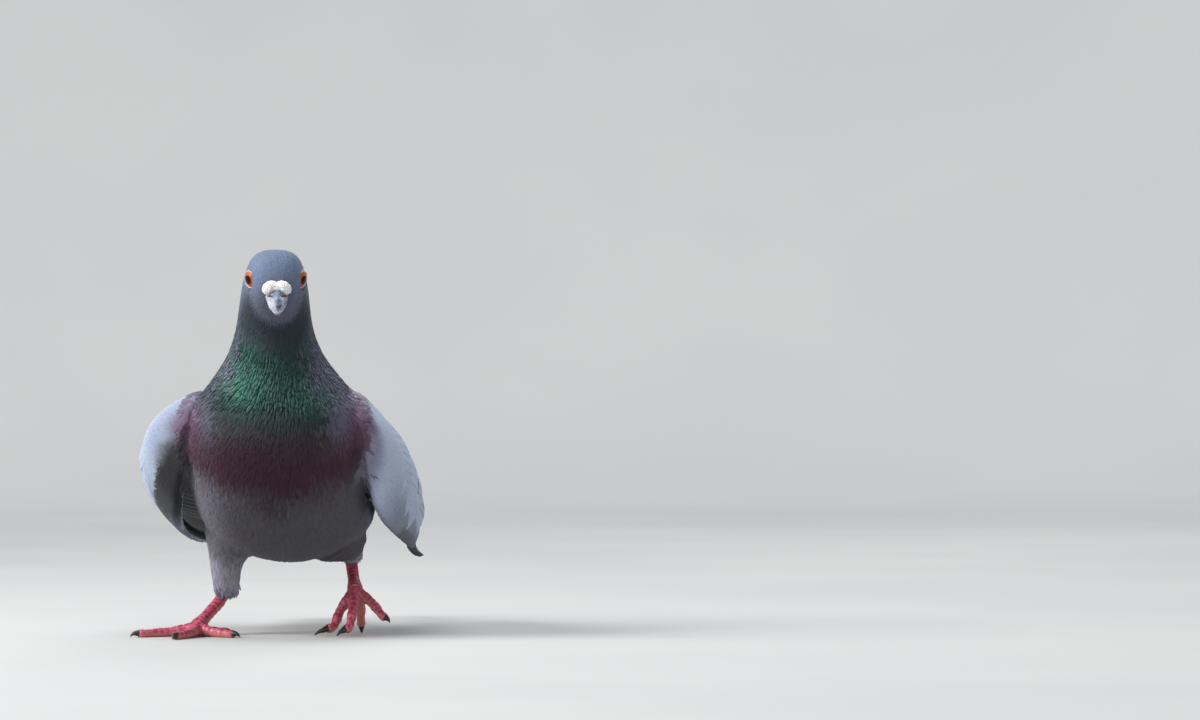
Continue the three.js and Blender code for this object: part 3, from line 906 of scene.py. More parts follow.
@dataclass(frozen=True)
class Markings:
    """The bird's colours over its body, wings and tail, for skin and coat alike."""

    crown: Colour = paint(106, 120, 146)
    cheek: Colour = paint(92, 94, 110)
    throat: Colour = paint(43, 49, 59)
    teal: Colour = paint(36, 56, 62)
    green: Colour = paint(36, 70, 62)
    bright: Colour = paint(64, 118, 100)
    lilac: Colour = paint(116, 114, 136)
    mauve: Colour = paint(120, 82, 112)
    wine: Colour = paint(60, 33, 45)
    belly: Colour = paint(74, 72, 79)
    flank: Colour = paint(112, 110, 121)
    night: Colour = paint(26, 35, 38)
    mantle: Colour = paint(140, 147, 162)
    rump: Colour = paint(172, 177, 187)
    wing: Colour = paint(172, 183, 204)
    rim: Colour = paint(138, 148, 171)
    # Painted shade on the lower part of the wings.
    fold: Colour = paint(108, 114, 131)
    shoulder: Colour = paint(104, 86, 106)
    under: Colour = paint(178, 184, 198)
    # Painted shade of the underwing.
    hollow: Colour = paint(36, 35, 40)
    # Lighter grey within the painted shade of the turned-in wing front.
    dusk: Colour = paint(104, 106, 116)
    bar: Colour = paint(40, 40, 46)
    primary: Colour = paint(84, 86, 94)
    tail: Colour = paint(104, 108, 119)
    thigh: Colour = paint(160, 159, 173)
    # Where the painted shade on the right wing's turned-in front ends: u for each v.
    turned_edge: tuple[Row, ...] = (
        (0.25, 0.5, 0.6, 0.7, 0.8, 0.85, 0.9, 1.0),
        (0.0, 0.05, 0.1, 0.12, 0.165, 0.33, 0.5, 0.6),
    )

    @staticmethod
    def ripple(points: Array, size: float, phase: float = 0.0) -> Array:
        """Slow unevenness from -1 to 1.

        Args:
            points: Places in millimetres.
            size: How long its waves are.
            phase: Shifts the waves.

        Returns:
            A value for each place.
        """
        x, y, z = np.moveaxis(points * (2 * math.pi / size), -1, 0)
        wave = np.sin(x + 1.3 * np.sin(0.7 * z + phase)) + np.sin(0.8 * y + 0.9 * x + 2.1 * phase)
        return (wave + np.sin(1.1 * z - 0.6 * y + 1.2 * np.sin(0.9 * x + phase))) / 3.0

    def at(self, tract: Array, coords: Array, points: Array) -> tuple[Array, Array]:
        """Colours anywhere.

        Args:
            tract: Part of the bird at each place.
            coords: Its coordinates there.
            points: Places in the trunk's frame.

        Returns:
            Colour and gloss of each place.
        """
        first, second = coords.T
        colour, gloss = self.body(first, second, points)
        for kind, under in ((Tract.WING_OUT, False), (Tract.WING_IN, True)):
            on = tract == kind.value
            colour[on] = self.wings(first[on], second[on], points[on, 0], under)
            gloss[on] = 0.02
        on = tract == Tract.THIGH.value
        colour[on], gloss[on] = self.thigh, 0.0
        return colour, gloss

    def body(self, place: Array, angle: Array, points: Array) -> tuple[Array, Array]:
        """Colours of head, neck, trunk and tail base.

        Args:
            place: Place along the sections.
            angle: Angle round them.
            points: Places in the trunk's frame.

        Returns:
            Colour and gloss of each place.
        """
        under = 0.5 - 0.5 * np.sin(angle)
        x, _, z = points.T
        wander = self.ripple(points, 30.0)
        along = place + 0.2 * wander + 0.1 * self.ripple(points, 9.0, 2.0)
        colour = np.tile(np.array(self.crown), (len(place), 1))
        colour = lay(colour, self.cheek, 0.95 * fade(z + 1.5 * wander, 181, 196))
        # Painted shade: the throat under the bill is darker.
        colour = lay(colour, self.throat, smooth(under, 0.35, 0.75) * smooth(along, 1.2, 2.8))
        neck = smooth(along, 4.7, 6.4)
        colour = lay(colour, self.teal, neck)
        glow = smooth(self.ripple(points, 26.0, 1.0), -0.7, 0.5)
        green = smooth(along, 5.4, 7.2) * (0.4 + 0.6 * glow)
        colour = lay(colour, self.green, green)
        # Painted highlight: the neck's green glints brighter at two fixed spots on the front, and faintly
        # over the back.
        lit = 1.1 * np.exp(-(((x + 13) / 12) ** 2) - ((z - 147) / 14) ** 2)
        lit = lit + 0.5 * np.exp(-(((x - 24) / 13) ** 2) - ((z - 134) / 11) ** 2)
        lit = np.where(under > 0.4, lit, 0.35 * glow * smooth(along, 7, 8.4))
        colour = lay(colour, self.bright, lit * (0.6 + 0.4 * glow))
        colour = lay(colour, self.night, 0.85 * smooth(along, 8.2, 9.5) * smooth(under, 0.4, 0.6))
        # The sides of the lower neck take its own lilac, made paler as painted grazing sheen, more strongly
        # on the bird's left.
        side = smooth(np.abs(x), 22, 36) * smooth(along, 6.6, 8.2) * smooth(under, 0.15, 0.4)
        ruff = 0.7 * neck * smooth(np.abs(x), 14, 22) * fade(along, 7.4, 9)
        colour = lay(colour, self.lilac, np.where(x > 0, 0.75, 0.35) * side + ruff)
        side = smooth(np.abs(x), 33, 45) * smooth(along, 8.3, 9.4) * smooth(under, 0.1, 0.3)
        colour = lay(colour, self.mauve, side)
        wine = smooth(along + 0.3 * self.ripple(points, 14.0, 3.0), 9.0, 11.2) * smooth(under, 0.3, 0.55)
        colour = lay(colour, self.wine, wine)
        # Painted shade: the middle of the wine breast is darker.
        colour = colour * (1 - 0.38 * wine * np.exp(-((x / 24) ** 2)))[:, None]
        low = smooth(along + 0.012 * np.abs(x) - 0.1 * (x > 0), 11.35, 12.3)
        # Painted light: the belly is lighter on the bird's right side.
        belly = lay(self.belly, self.flank, smooth(-x, 18, 42) * 0.9)
        colour = lay(colour, belly, low * smooth(under, 0.3, 0.55))
        # Painted light: paler still on the bird's right side just above the thigh.
        colour = lay(colour, self.thigh, 0.5 * low * smooth(-x, 12, 28) * fade(z, 38, 58))
        between = smooth(along, 11.5, 12.5) * fade(np.abs(np.sin(angle)), 0.3, 0.6)
        colour = lay(colour, self.belly, between)
        colour = lay(colour, self.mantle, smooth(along, 10.3, 11.2) * fade(under, 0.3, 0.55))
        rump = smooth(along, 13.6, 14.2) * fade(along, 15.6, 16.2)
        colour = lay(colour, self.rump, rump * fade(under, 0.2, 0.5))
        colour = lay(colour, self.tail, smooth(along, 15.6, 16.3))
        gloss = neck * fade(along, 9.8, 11.0) * 0.8
        return colour, gloss

    def wings(self, u: Array, v: Array, x: Array, under: bool) -> Array:
        """Colours of a wing's small feathers, with painted shade on the inner face and parts of the outer.

        Args:
            u: Place from the wrist to the tip.
            v: Place from the upper edge to the hem.
            x: Place across the trunk.
            under: Whether it is the inner face.

        Returns:
            Colour of each place.
        """
        # Painted shade: the inner face darkens from pale at its upper edge to near black lower down.
        deep = lay(self.under, self.hollow, smooth(v, 0.1, 0.38))
        if under:
            return lay(deep, self.wing, smooth(v, 0.96, 0.99) * smooth(u, 0.2, 0.35))
        left = x > 0
        # Painted shade: the front of the bird's right wing is darker.
        colour = lay(self.wing, self.rim, ~left * fade(u, 0.1, 0.3))
        # Painted shade: the lower part of each wing, back from the wrist, is darker.
        colour = lay(colour, self.fold, 0.85 * (smooth(v, 0.6, 0.92) * smooth(u, 0.16, 0.4)))
        tip = smooth(v, 0.9, 0.95) * np.where(left, smooth(u, 0.42, 0.48), smooth(u, 0.7, 0.78))
        colour = lay(colour, self.primary, tip)
        front = 1 - np.where(left, smooth(u, 0.02, 0.17), smooth(u, 0.01, 0.07))
        colour = lay(colour, self.lilac, 0.8 * front)
        top = fade(u, 0.04, 0.14) * fade(v, 0.25, 0.5)
        colour = lay(colour, self.shoulder, 0.9 * top)
        # Painted shade: where the bird's right wing turns in along its front and hem, it takes the inner
        # face's shaded colour, with a lighter grey towards the edge of the shade.
        edge = np.interp(v, *self.turned_edge)
        turned = ~left * smooth(v, 0.25, 0.45) * fade(u, edge - 0.03, edge + 0.06)
        turned = turned * (1 - smooth(v, 0.965, 0.99) * smooth(u, 0.3, 0.45))
        lit = 0.8 * smooth(u, edge - 0.09, edge) * fade(v, 0.7, 0.9)
        return lay(colour, lay(deep, self.dusk, lit), turned)


# ---------------- mesh tools


@dataclass
class Shell:
    """Points, faces and painted values of a piece that grows from many parts."""

    points: list[Array] = field(default_factory=list)
    faces: list[Array] = field(default_factory=list)
    maps: dict[str, list[Array]] = field(default_factory=dict)
    count: int = 0

    def add(self, points: Array, faces: Array, **maps: Array) -> None:
        """Adds one part.

        Args:
            points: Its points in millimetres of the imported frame.
            faces: Its faces as rows of point numbers.
            **maps: Values for each point, by name.
        """
        self.points.append(points)
        self.faces.append(faces + self.count)
        for name, values in maps.items():
            self.maps.setdefault(name, []).append(values)
        self.count += len(points)

    def join(self, part: Shell) -> None:
        """Adds all that another shell holds."""
        maps = {name: np.concatenate(values) for name, values in part.maps.items()}
        self.add(np.concatenate(part.points), np.concatenate(part.faces), **maps)

    def make(self, name: str) -> Piece:
        """Makes the mesh object with its attributes and UV maps.

        Args:
            name: The object's name.

        Returns:
            The object.
        """
        whole = Shell()
        whole.join(self)
        maps = {key: values[0] for key, values in whole.maps.items()}
        return mesh_object(name, whole.points[0], whole.faces[0], **maps)


def mesh_object(name: str, points: Array, faces: Array, **maps: Array) -> Piece:
    """Makes a mesh object at the origin.

    Args:
        name: Name of the object.
        points: Points in millimetres.
        faces: Rows of point numbers, all of one length.
        **maps: Values for each point: three columns make a colour, two a UV map, one a number.

    Returns:
        The object.
    """
    mesh = bpy.data.meshes.new(name)
    mesh.vertices.add(len(points))
    mesh.vertices.foreach_set("co", (np.asarray(points) * MM).astype(np.float32).ravel())
    mesh.loops.add(faces.size)
    mesh.loops.foreach_set("vertex_index", faces.astype(np.int32).ravel())
    mesh.polygons.add(len(faces))
    mesh.polygons.foreach_set("loop_start", np.arange(len(faces), dtype=np.int32) * faces.shape[1])
    mesh.update(calc_edges=True)
    mesh.validate()
    mesh.shade_smooth()
    made = bpy.data.objects.new(name, mesh)
    bpy.context.scene.collection.objects.link(made)
    for key, values in maps.items():
        paint_mesh(made, key, values)
    return made


def paint_mesh(target: Piece, name: str, values: Array) -> None:
    """Writes values of each point to a mesh: a colour, a UV map or a number.

    Args:
        target: The object.
        name: Name of the attribute or map.
        values: Three, two or one values for each point.
    """
    mesh = target.data
    if values.ndim == 1:
        made = mesh.attributes.new(name, "FLOAT", "POINT")
        made.data.foreach_set("value", values.astype(np.float32))
    elif values.shape[1] == 2:
        corners = rows_of(mesh.loops, "vertex_index", 1, np.int32)[:, 0]
        layer = mesh.uv_layers.get(name) or mesh.uv_layers.new(name=name)
        layer.data.foreach_set("uv", values[corners].astype(np.float32).ravel())
    else:
        made = mesh.color_attributes.new(name=name, type="FLOAT_COLOR", domain="POINT")
        full = np.concatenate([np.clip(values, 0, 1), np.ones((len(values), 1))], axis=1)
        made.data.foreach_set("color", full.astype(np.float32).ravel())


def rows_of(items: Sequence[object], name: str, width: int = 3, kind: type = np.float32) -> Array:
    """Reads one property of a mesh's points, corners or triangles, as rows.

    Args:
        items: What is read.
        name: Name of the property.
        width: Numbers for each item.
        kind: Kind of number.

    Returns:
        The rows.
    """
    flat = np.empty(len(items) * width, dtype=kind)
    items.foreach_get(name, flat)
    return flat.reshape(-1, width)


def mesh_points(source: Piece) -> Array:
    """Points of a mesh in millimetres."""
    return rows_of(source.data.vertices, "co").astype(float) / MM


def mesh_normals(source: Piece) -> Array:
    """Normals of a mesh's points."""
    return rows_of(source.data.vertex_normals, "vector").astype(float)


def move_points(target: Piece, points: Array) -> None:
    """Puts a mesh's points where they are wanted, in millimetres."""
    target.data.vertices.foreach_set("co", (points * MM).astype(np.float32).ravel())
    target.data.update()


def grid_faces(rows: int, columns: int, around: bool = False) -> Array:
    """Four-sided faces over a grid of points, joined round its rows if asked.

    Args:
        rows: Rows of the grid.
        columns: Points in a row.
        around: Whether each row closes.

    Returns:
        Rows of four point numbers.
    """
    across = np.arange(columns if around else columns - 1)
    i, j = np.meshgrid(np.arange(rows - 1) * columns, across, indexing="ij")
    right = (j + 1) % columns
    return np.stack([i + j, i + right, i + columns + right, i + columns + j], -1).reshape(-1, 4)


def slab_faces(rows: int, columns: int) -> Array:
    """Faces of two grids of points, one over the other, with a wall round their rim.

    Args:
        rows: Rows of each grid.
        columns: Points in a row.

    Returns:
        Rows of four point numbers.
    """
    sheet, size = grid_faces(rows, columns), rows * columns
    rim = np.concatenate(
        [
            np.arange(columns),
            np.arange(1, rows) * columns + columns - 1,
            (rows - 1) * columns + np.arange(columns - 2, -1, -1),
            np.arange(rows - 2, 0, -1) * columns,
        ]
    )
    after = np.roll(rim, -1)
    wall = np.stack([rim, rim + size, after + size, after], -1)
    return np.concatenate([sheet, sheet[:, ::-1] + size, wall])


def alone(*chosen: Piece) -> None:
    """Selects only these objects and makes the first one active.

    Args:
        *chosen: The objects.
    """
    bpy.ops.object.select_all(action="DESELECT")
    for item in chosen:
        item.select_set(True)
    bpy.context.view_layer.objects.active = chosen[0]


def edit(target: Piece, **steps: dict[str, object]) -> None:
    """Runs mesh operators over a whole mesh.

    Args:
        target: The object.
        **steps: Settings of each operator, by its name.
    """
    alone(target)
    bpy.ops.object.mode_set(mode="EDIT")
    bpy.ops.mesh.select_all(action="SELECT")
    for name, settings in steps.items():
        getattr(bpy.ops.mesh, name)(**settings)
    bpy.ops.object.mode_set(mode="OBJECT")


def largest_part(target: Piece) -> Piece:
    """Deletes all but the largest loose part of a mesh.

    Args:
        target: The object.

    Returns:
        What is left of it.
    """
    name = target.name
    edit(target, separate={"type": "LOOSE"})
    parts = sorted(bpy.context.selected_objects, key=lambda part: len(part.data.vertices))
    for part in parts[:-1]:
        bpy.data.objects.remove(part)
    parts[-1].name = name
    return parts[-1]


def apply_modifier(target: Piece, kind: str, **settings: object) -> None:
    """Adds a modifier with its settings and applies it.

    Args:
        target: The object.
        kind: Blender's name for the modifier.
        **settings: Its settings.
    """
    alone(target)
    modifier = target.modifiers.new(kind.title(), kind)
    for key, value in settings.items():
        setattr(modifier, key, value)
    bpy.ops.object.modifier_apply(modifier=modifier.name)


def remesh(target: Piece, voxel: float, passes: int) -> None:
    """Makes one closed smooth mesh of all that an object holds.

    Args:
        target: The object.
        voxel: Size of the mesh in millimetres.
        passes: How often it is smoothed.
    """
    apply_modifier(target, "REMESH", mode="VOXEL", voxel_size=voxel * MM, adaptivity=0.0)
    apply_modifier(target, "SMOOTH", factor=0.5, iterations=passes)
    target.data.shade_smooth()


def copy_of(node: Piece, name: str) -> Piece:
    """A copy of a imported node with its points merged.

    Args:
        node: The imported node.
        name: Name of the copy.

    Returns:
        The copy.
    """
    made = node.copy()
    made.data = node.data.copy()
    made.parent = None
    for key in list(made.keys()):
        del made[key]
    made.name = name
    made.data.materials.clear()
    bpy.context.scene.collection.objects.link(made)
    edit(made, remove_doubles={"threshold": MERGE})
    return made


def search_tree(points: Array, numbers: Sequence[int] | None = None) -> kdtree.KDTree:
    """A tree that finds the nearest of some points, by their numbers.

    Args:
        points: The points.
        numbers: Their numbers, where they don't just count up.

    Returns:
        The tree.
    """
    tree = kdtree.KDTree(len(points))
    for point, number in zip(points.tolist(), numbers or range(len(points))):
        tree.insert(point, number)
    tree.balance()
    return tree


def tree_of(source: Piece) -> BVHTree:
    """A tree of a mesh's faces in millimetres."""
    faces = [tuple(polygon.vertices) for polygon in source.data.polygons]
    return BVHTree.FromPolygons(mesh_points(source).tolist(), faces)


def dress(target: Piece, material: Material, slot: str, *nodes: str) -> Piece:
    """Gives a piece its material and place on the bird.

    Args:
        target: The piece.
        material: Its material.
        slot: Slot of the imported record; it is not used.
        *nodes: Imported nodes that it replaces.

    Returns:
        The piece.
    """
    target.data.materials.clear()
    target.data.materials.append(material)
    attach(target, "root")
    if nodes:
        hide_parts(*nodes)
    LOG.info("%s: %d faces", target.name, len(target.data.polygons))
    return target


# ---------------- lie of the feathers


@dataclass(frozen=True)
class Patch:
    """A part of the sheet that looks are baked on, by its corner and its size."""

    left: float
    low: float
    width: float
    height: float

    def at(self, u: Array, v: Array) -> Array:
        """Places in it, by shares of its width and height."""
        return np.stack(np.broadcast_arrays(self.left + self.width * u, self.low + self.height * v), -1)


class Tract(Enum):
    """Parts of the bird that carry small feathers."""

    BODY = 0
    WING_OUT = 1
    WING_IN = 2
    THIGH = 3


TRACT_GROUPS = ((Tract.BODY,), (Tract.WING_OUT, Tract.WING_IN), (Tract.THIGH,))


@dataclass
class Spots:
    """Where points lie on the bird: a sample on each group of parts, and the weight of each."""

    index: Array
    weight: Array

    @property
    def main(self) -> Array:
        """The heaviest sample of each point."""
        return np.take_along_axis(self.index, self.weight.argmax(axis=1)[:, None], axis=1)[:, 0]

    def part(self, chosen: Array) -> Spots:
        """Only some of the points."""
        return Spots(self.index[chosen], self.weight[chosen])


@dataclass
class Lie:
    """Which way feathers lie, and which part they are on, all over the bird."""

    reach: float = 1.6
    body_grid: tuple[int, int] = (241, 96)
    wing_count: int = 60
    thigh_grid: tuple[int, int] = (30, 24)
    points: Array = field(default_factory=lambda: np.zeros((0, 3)))
    ways: Array = field(default_factory=lambda: np.zeros((0, 3)))
    tract: Array = field(default_factory=lambda: np.zeros(0, int))
    coords: Array = field(default_factory=lambda: np.zeros((0, 2)))
    unwrap: Array = field(default_factory=lambda: np.zeros((0, 2)))
    trees: list[kdtree.KDTree] = field(default_factory=list)

    def add(self, points: Array, ways: Array, tract: Tract, coords: Array, unwrap: Array) -> None:
        """Adds samples of one part.

        Args:
            points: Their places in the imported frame.
            ways: The way that feathers lie there.
            tract: The part.
            coords: Their coordinates on it.
            unwrap: Their places on the sheet that looks are baked on.
        """
        self.points = np.concatenate([self.points, points.reshape(-1, 3)])
        self.ways = np.concatenate([self.ways, unit(ways.reshape(-1, 3))])
        self.tract = np.concatenate([self.tract, np.full(points.size // 3, tract.value)])
        self.coords = np.concatenate([self.coords, coords.reshape(-1, 2)])
        self.unwrap = np.concatenate([self.unwrap, unwrap.reshape(-1, 2)])

    def gather(self) -> Lie:
        """Samples every part and readies the search.

        Returns:
            Itself.
        """
        place, angle = BODY.grid(*self.body_grid)
        body = FRAMES.from_trunk(BODY.surface(place, angle))
        unwrap = Patch(0.02, 0.02, 0.42, 0.96).at(angle / math.tau, place / place.max())
        self.add(body, np.gradient(body, axis=0), Tract.BODY, np.stack([place, angle], -1), unwrap)
        for number, (side, wing) in enumerate(WINGS.items()):
            for under in (False, True):
                grid = wing.arm(self.wing_count, under)
                u, v = wing.arm_grid(self.wing_count)
                ways = FRAMES.turned(wing.slopes(u, v)[0])
                patch = Patch(0.46 + 0.13 * (2 * number + under), 0.3, 0.11, 0.68)
                unwrap = patch.at(u / wing.hand_end, v)
                kind = Tract.WING_IN if under else Tract.WING_OUT
                self.add(FRAMES.from_trunk(grid), ways, kind, np.stack([u, v], -1), unwrap)
            self.add_edge(wing, 0.46 + 0.26 * number)
            self.add_thigh(LEGS[side], 0.46 + 0.26 * number)
        for group in TRACT_GROUPS:
            chosen = np.flatnonzero(np.isin(self.tract, [kind.value for kind in group]))
            self.trees.append(search_tree(self.points[chosen], chosen.tolist()))
        return self

    def add_edge(self, wing: WingForm, at: float) -> None:
        """Samples a wing's blunt front, where feathers lie out and down over the edge.

        Args:
            wing: The wing.
            at: Where its patch of the sheet begins.
        """
        outer, inner = (wing.arm(self.wing_count, under)[:1] for under in (False, True))
        share = np.linspace(0.1, 0.9, 9)[:, None, None]
        points = outer + (inner - outer) * share
        v = np.broadcast_to(np.linspace(0, 1, self.wing_count), points.shape[:2])
        ways = unit(outer - inner) + 0.7 * unit(np.gradient(outer, axis=1))
        ways = np.broadcast_to(FRAMES.turned(ways), points.shape)
        unwrap = Patch(at, 0.3, 0.0, 0.68).at(0, v)
        coords = np.stack([np.zeros(v.shape), v], -1)
        self.add(FRAMES.from_trunk(points), ways, Tract.WING_OUT, coords, unwrap)

    def add_thigh(self, leg: Leg, at: float) -> None:
        """Samples a thigh, unwrapped from a place on.

        Args:
            leg: The leg.
            at: Where its patch of the sheet begins.
        """
        count, sides = self.thigh_grid
        spine, share, turn = leg.thigh_line(count), np.linspace(0, 1, count), turns(sides)
        step = unit(np.gradient(spine, axis=0))
        across = unit(np.cross(step, np.array([0.0, 1.0, 0.0])))
        ring = rings(across, np.cross(across, step), turn)
        points = spine[:, None] + ring * leg.thigh_radius(share)[:, None, None]
        ways = np.broadcast_to(step[:, None], points.shape)
        t, a = np.meshgrid(share, turn / math.tau, indexing="ij")
        unwrap = Patch(at, 0.02, 0.22, 0.24).at(a, t)
        self.add(points, ways, Tract.THIGH, np.stack([t, a], -1), unwrap)

    def find(self, points: Array) -> Spots:
        """Finds where points lie on the bird.

        Args:
            points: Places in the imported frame.

        Returns:
            Their samples and weights.
        """
        hits = [[tree.find(point)[1:] for tree in self.trees] for point in points.tolist()]
        index = np.array([[hit[0] for hit in row] for row in hits])
        away = np.array([[hit[1] for hit in row] for row in hits])
        weight = np.exp(-(away - away.min(axis=1, keepdims=True)) / self.reach)
        return Spots(index, weight / weight.sum(axis=1, keepdims=True))

    def way(self, spots: Spots) -> Array:
        """The way that feathers lie there."""
        return unit(np.sum(self.ways[spots.index] * spots.weight[..., None], axis=1))


# ---------------- legs


@dataclass
class Digit:
    """A toe and its claw on the floor's axes, each as points along its middle."""

    name: str
    path: tuple[Triple, ...]
    claw: tuple[Triple, ...]


@dataclass
class Leg:
    """A leg from the thigh to the claws, on the floor's axes before the foot is set back."""

    side: Side
    back: float
    hip: Row
    knee: Row
    cuff: Row
    ankle: Triple
    pad: Triple
    digits: tuple[Digit, ...]
    toe_radii: Pair = (2.9, 2.2)
    toe_reach: float = 0.7
    voxel: float = 0.4
    passes: int = 3
    tarsus_points: int = 150
    tarsus_places: Row = (0, 0.3, 0.75, 0.93, 1)
    tarsus_radii: Row = (3.8, 3.4, 3.2, 4.2, 4.4)
    tarsus_plates: float = 13.0
    tarsus_bend: float = 0.8
    toe_points: int = 110
    toe_plates: float = 9.0
    claw_points: int = 40
    claw_sides: int = 16
    claw_radii: Pair = (2.0, 0.22)
    between: float = 0.93
    sole: float = 0.25

    def placed(self, points: Sequence[Sequence[float]]) -> Array:
        """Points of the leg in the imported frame."""
        moved = np.asarray(points, float)[:, :3] + np.array([0.0, self.back, 0.0])
        return FRAMES.from_floor(moved)

    def thigh_line(self, count: int) -> Array:
        """Points along the thigh's middle."""
        return spline(self.placed((self.hip, self.knee, self.cuff)), count)

    def thigh_radius(self, t: Array) -> Array:
        """Radius of the thigh along it."""
        return np.interp(t, (0, 0.55, 1), (self.hip[3], self.knee[3], self.cuff[3]))

    def limb(self, line: Array, radii: Array, plates: float, sides: int = 28) -> Shell:
        """A closed limb with overlapping plates on top and pads below.

        Args:
            line: Points along its middle.
            radii: Radius at each point.
            plates: How many plates there are along it, none for a smooth one.
            sides: Points round it.

        Returns:
            The limb alone.
        """
        step = unit(np.gradient(line, axis=0))
        flat = unit(np.cross(step, UP) + np.array([1e-6, 0.0, 0.0]))
        rise = np.cross(flat, step)
        turn = turns(sides)
        along = np.linspace(0, plates, len(line))[:, None]
        top = smooth(np.sin(turn), -0.25, 0.35)[None, :]
        lap = along % 1.0
        plate = smooth(lap, 0.0, 0.16) * (1 - 0.55 * lap) * top
        lumps = np.abs(np.sin(along * math.pi * 0.8 + np.cos(turn)[None] * 1.5)) * (1 - top)
        swell = radii[:, None] * (self.between + 0.16 * plate + 0.1 * lumps)
        points = (line[:, None] + rings(flat, rise, turn) * swell[..., None]).reshape(-1, 3)
        seam = ((1 - smooth(lap, 0.0, 0.2) + smooth(lap, 0.88, 1.0)) * top).ravel()
        sole = np.broadcast_to(1 - top, (len(line), sides)).ravel()
        ends = np.stack([line[0] - step[0] * radii[0] * 0.2, line[-1] + step[-1] * radii[-1] * 0.35])
        near, far = len(points), len(points) + 1
        k = np.arange(sides)
        after, base = np.roll(k, -1), len(points) - sides
        quads = grid_faces(len(line), sides, around=True)
        faces = [quads[:, [0, 1, 2]], quads[:, [0, 2, 3]]]
        faces.append(np.stack([np.full(sides, near), after, k], -1))
        faces.append(np.stack([np.full(sides, far), base + k, base + after], -1))
        points, sole = np.concatenate([points, ends]), np.append(sole, [0.5, 0.5])
        shell = Shell()
        shell.add(points, np.concatenate(faces), seam=np.append(seam, [0, 0]), sole=sole)
        return shell

    def tapered(self, t: Array) -> Array:
        """Radius along a toe: swollen at its joints, rounded at its end.

        Args:
            t: Shares of the length.

        Returns:
            The radius at each.
        """
        radius = mix(*self.toe_radii, t) + 1.2 * fade(t, 0.0, 0.35)
        knuckle = 0.98 + 0.16 * np.cos(t * math.tau * 1.5 + 0.3) ** 4
        return radius * knuckle * np.sqrt(np.clip(1 - smooth(t, 0.9, 1.12) ** 2, 0.1, 1))

    def floored(self, points: Array) -> Array:
        """Keeps points above the floor, with a soft flat where they met it.

        Args:
            points: The points, which are changed.

        Returns:
            The same points.
        """
        height = points[:, 2]
        soft = self.sole * np.exp(height - self.sole) * 0.98
        points[:, 2] = np.where(height < self.sole, soft, height)
        return points

    def build(self) -> list[Piece]:
        """Makes tarsus, toes and claws.

        Returns:
            The pieces.
        """
        made, names = [], []
        word = self.side.word
        skin, horn = ScaleFinish(f"scales_{word}").material(), ClawFinish(f"claws_{word}").material()
        ankle, pad = self.placed([self.ankle])[0], self.placed([self.pad])[0]
        cuff = self.placed([self.cuff])[0] + UP * 6
        middle = (ankle + pad) / 2 + np.array([0.0, self.tarsus_bend, 0.0])
        line = spline(np.array([cuff, ankle, middle, pad + UP * 0.6]), self.tarsus_points)
        share = np.linspace(0, 1, self.tarsus_points)
        radii = np.interp(share, self.tarsus_places, self.tarsus_radii)
        shell = self.limb(line, radii, self.tarsus_plates)
        radii = self.tapered(np.linspace(0, 1, self.toe_points))
        for digit in self.digits:
            path = np.concatenate([[pad], self.placed(digit.path), self.placed(digit.claw[:1])])
            path[-1] = mix(path[-2], path[-1], self.toe_reach)
            shell.join(self.limb(spline(path, self.toe_points), radii, self.toe_plates))
            made.append(self.claw(digit, path, horn))
            names.append(f"toe_{digit.name}_{word}")
        foot = self.merged(shell, f"foot_{word}")
        return [*made, dress(foot, skin, "leg_scales", f"tarsus_{word}", *names)]

    def merged(self, shell: Shell, name: str) -> Piece:
        """Runs tarsus and toes together into one soft mesh that keeps its painted values.

        Args:
            shell: The limbs.
            name: Name of the piece.

        Returns:
            The foot.
        """
        foot = shell.make(name)
        remesh(foot, self.voxel, self.passes)
        tree = search_tree(np.concatenate(shell.points))
        points = mesh_points(foot)
        nearest = np.array([tree.find(point)[1] for point in points.tolist()])
        for key, values in shell.maps.items():
            if key in foot.data.attributes:
                foot.data.attributes.remove(foot.data.attributes[key])
            paint_mesh(foot, key, np.concatenate(values)[nearest])
        move_points(foot, self.floored(points))
        return foot

    def claw(self, digit: Digit, path: Array, horn: Material) -> Piece:
        """A hooked claw from the toe's end.

        Args:
            digit: The toe and its claw.
            path: Points along the toe.
            horn: The claws' material.

        Returns:
            The claw.
        """
        tips = self.placed(digit.claw)
        start = mix(path[-2], tips[0], 0.45) + UP * 0.4
        hook = (tips[0] + tips[1]) / 2 + UP * 0.7
        middle = np.array([start, tips[0] + UP * 0.3, hook, tips[1] + UP * 0.15])
        radii = mix(*self.claw_radii, np.linspace(0, 1, self.claw_points) ** 1.4)
        made = self.limb(spline(middle, self.claw_points), radii / self.between, 0.0, self.claw_sides)
        name, word = digit.name, self.side.word
        points, faces = self.floored(made.points[0]), made.faces[0][:, ::-1]
        piece = mesh_object(f"{name}_claw_{word}", points, faces)
        return dress(piece, horn, "claw_horn", f"claw_{name}_{word}")


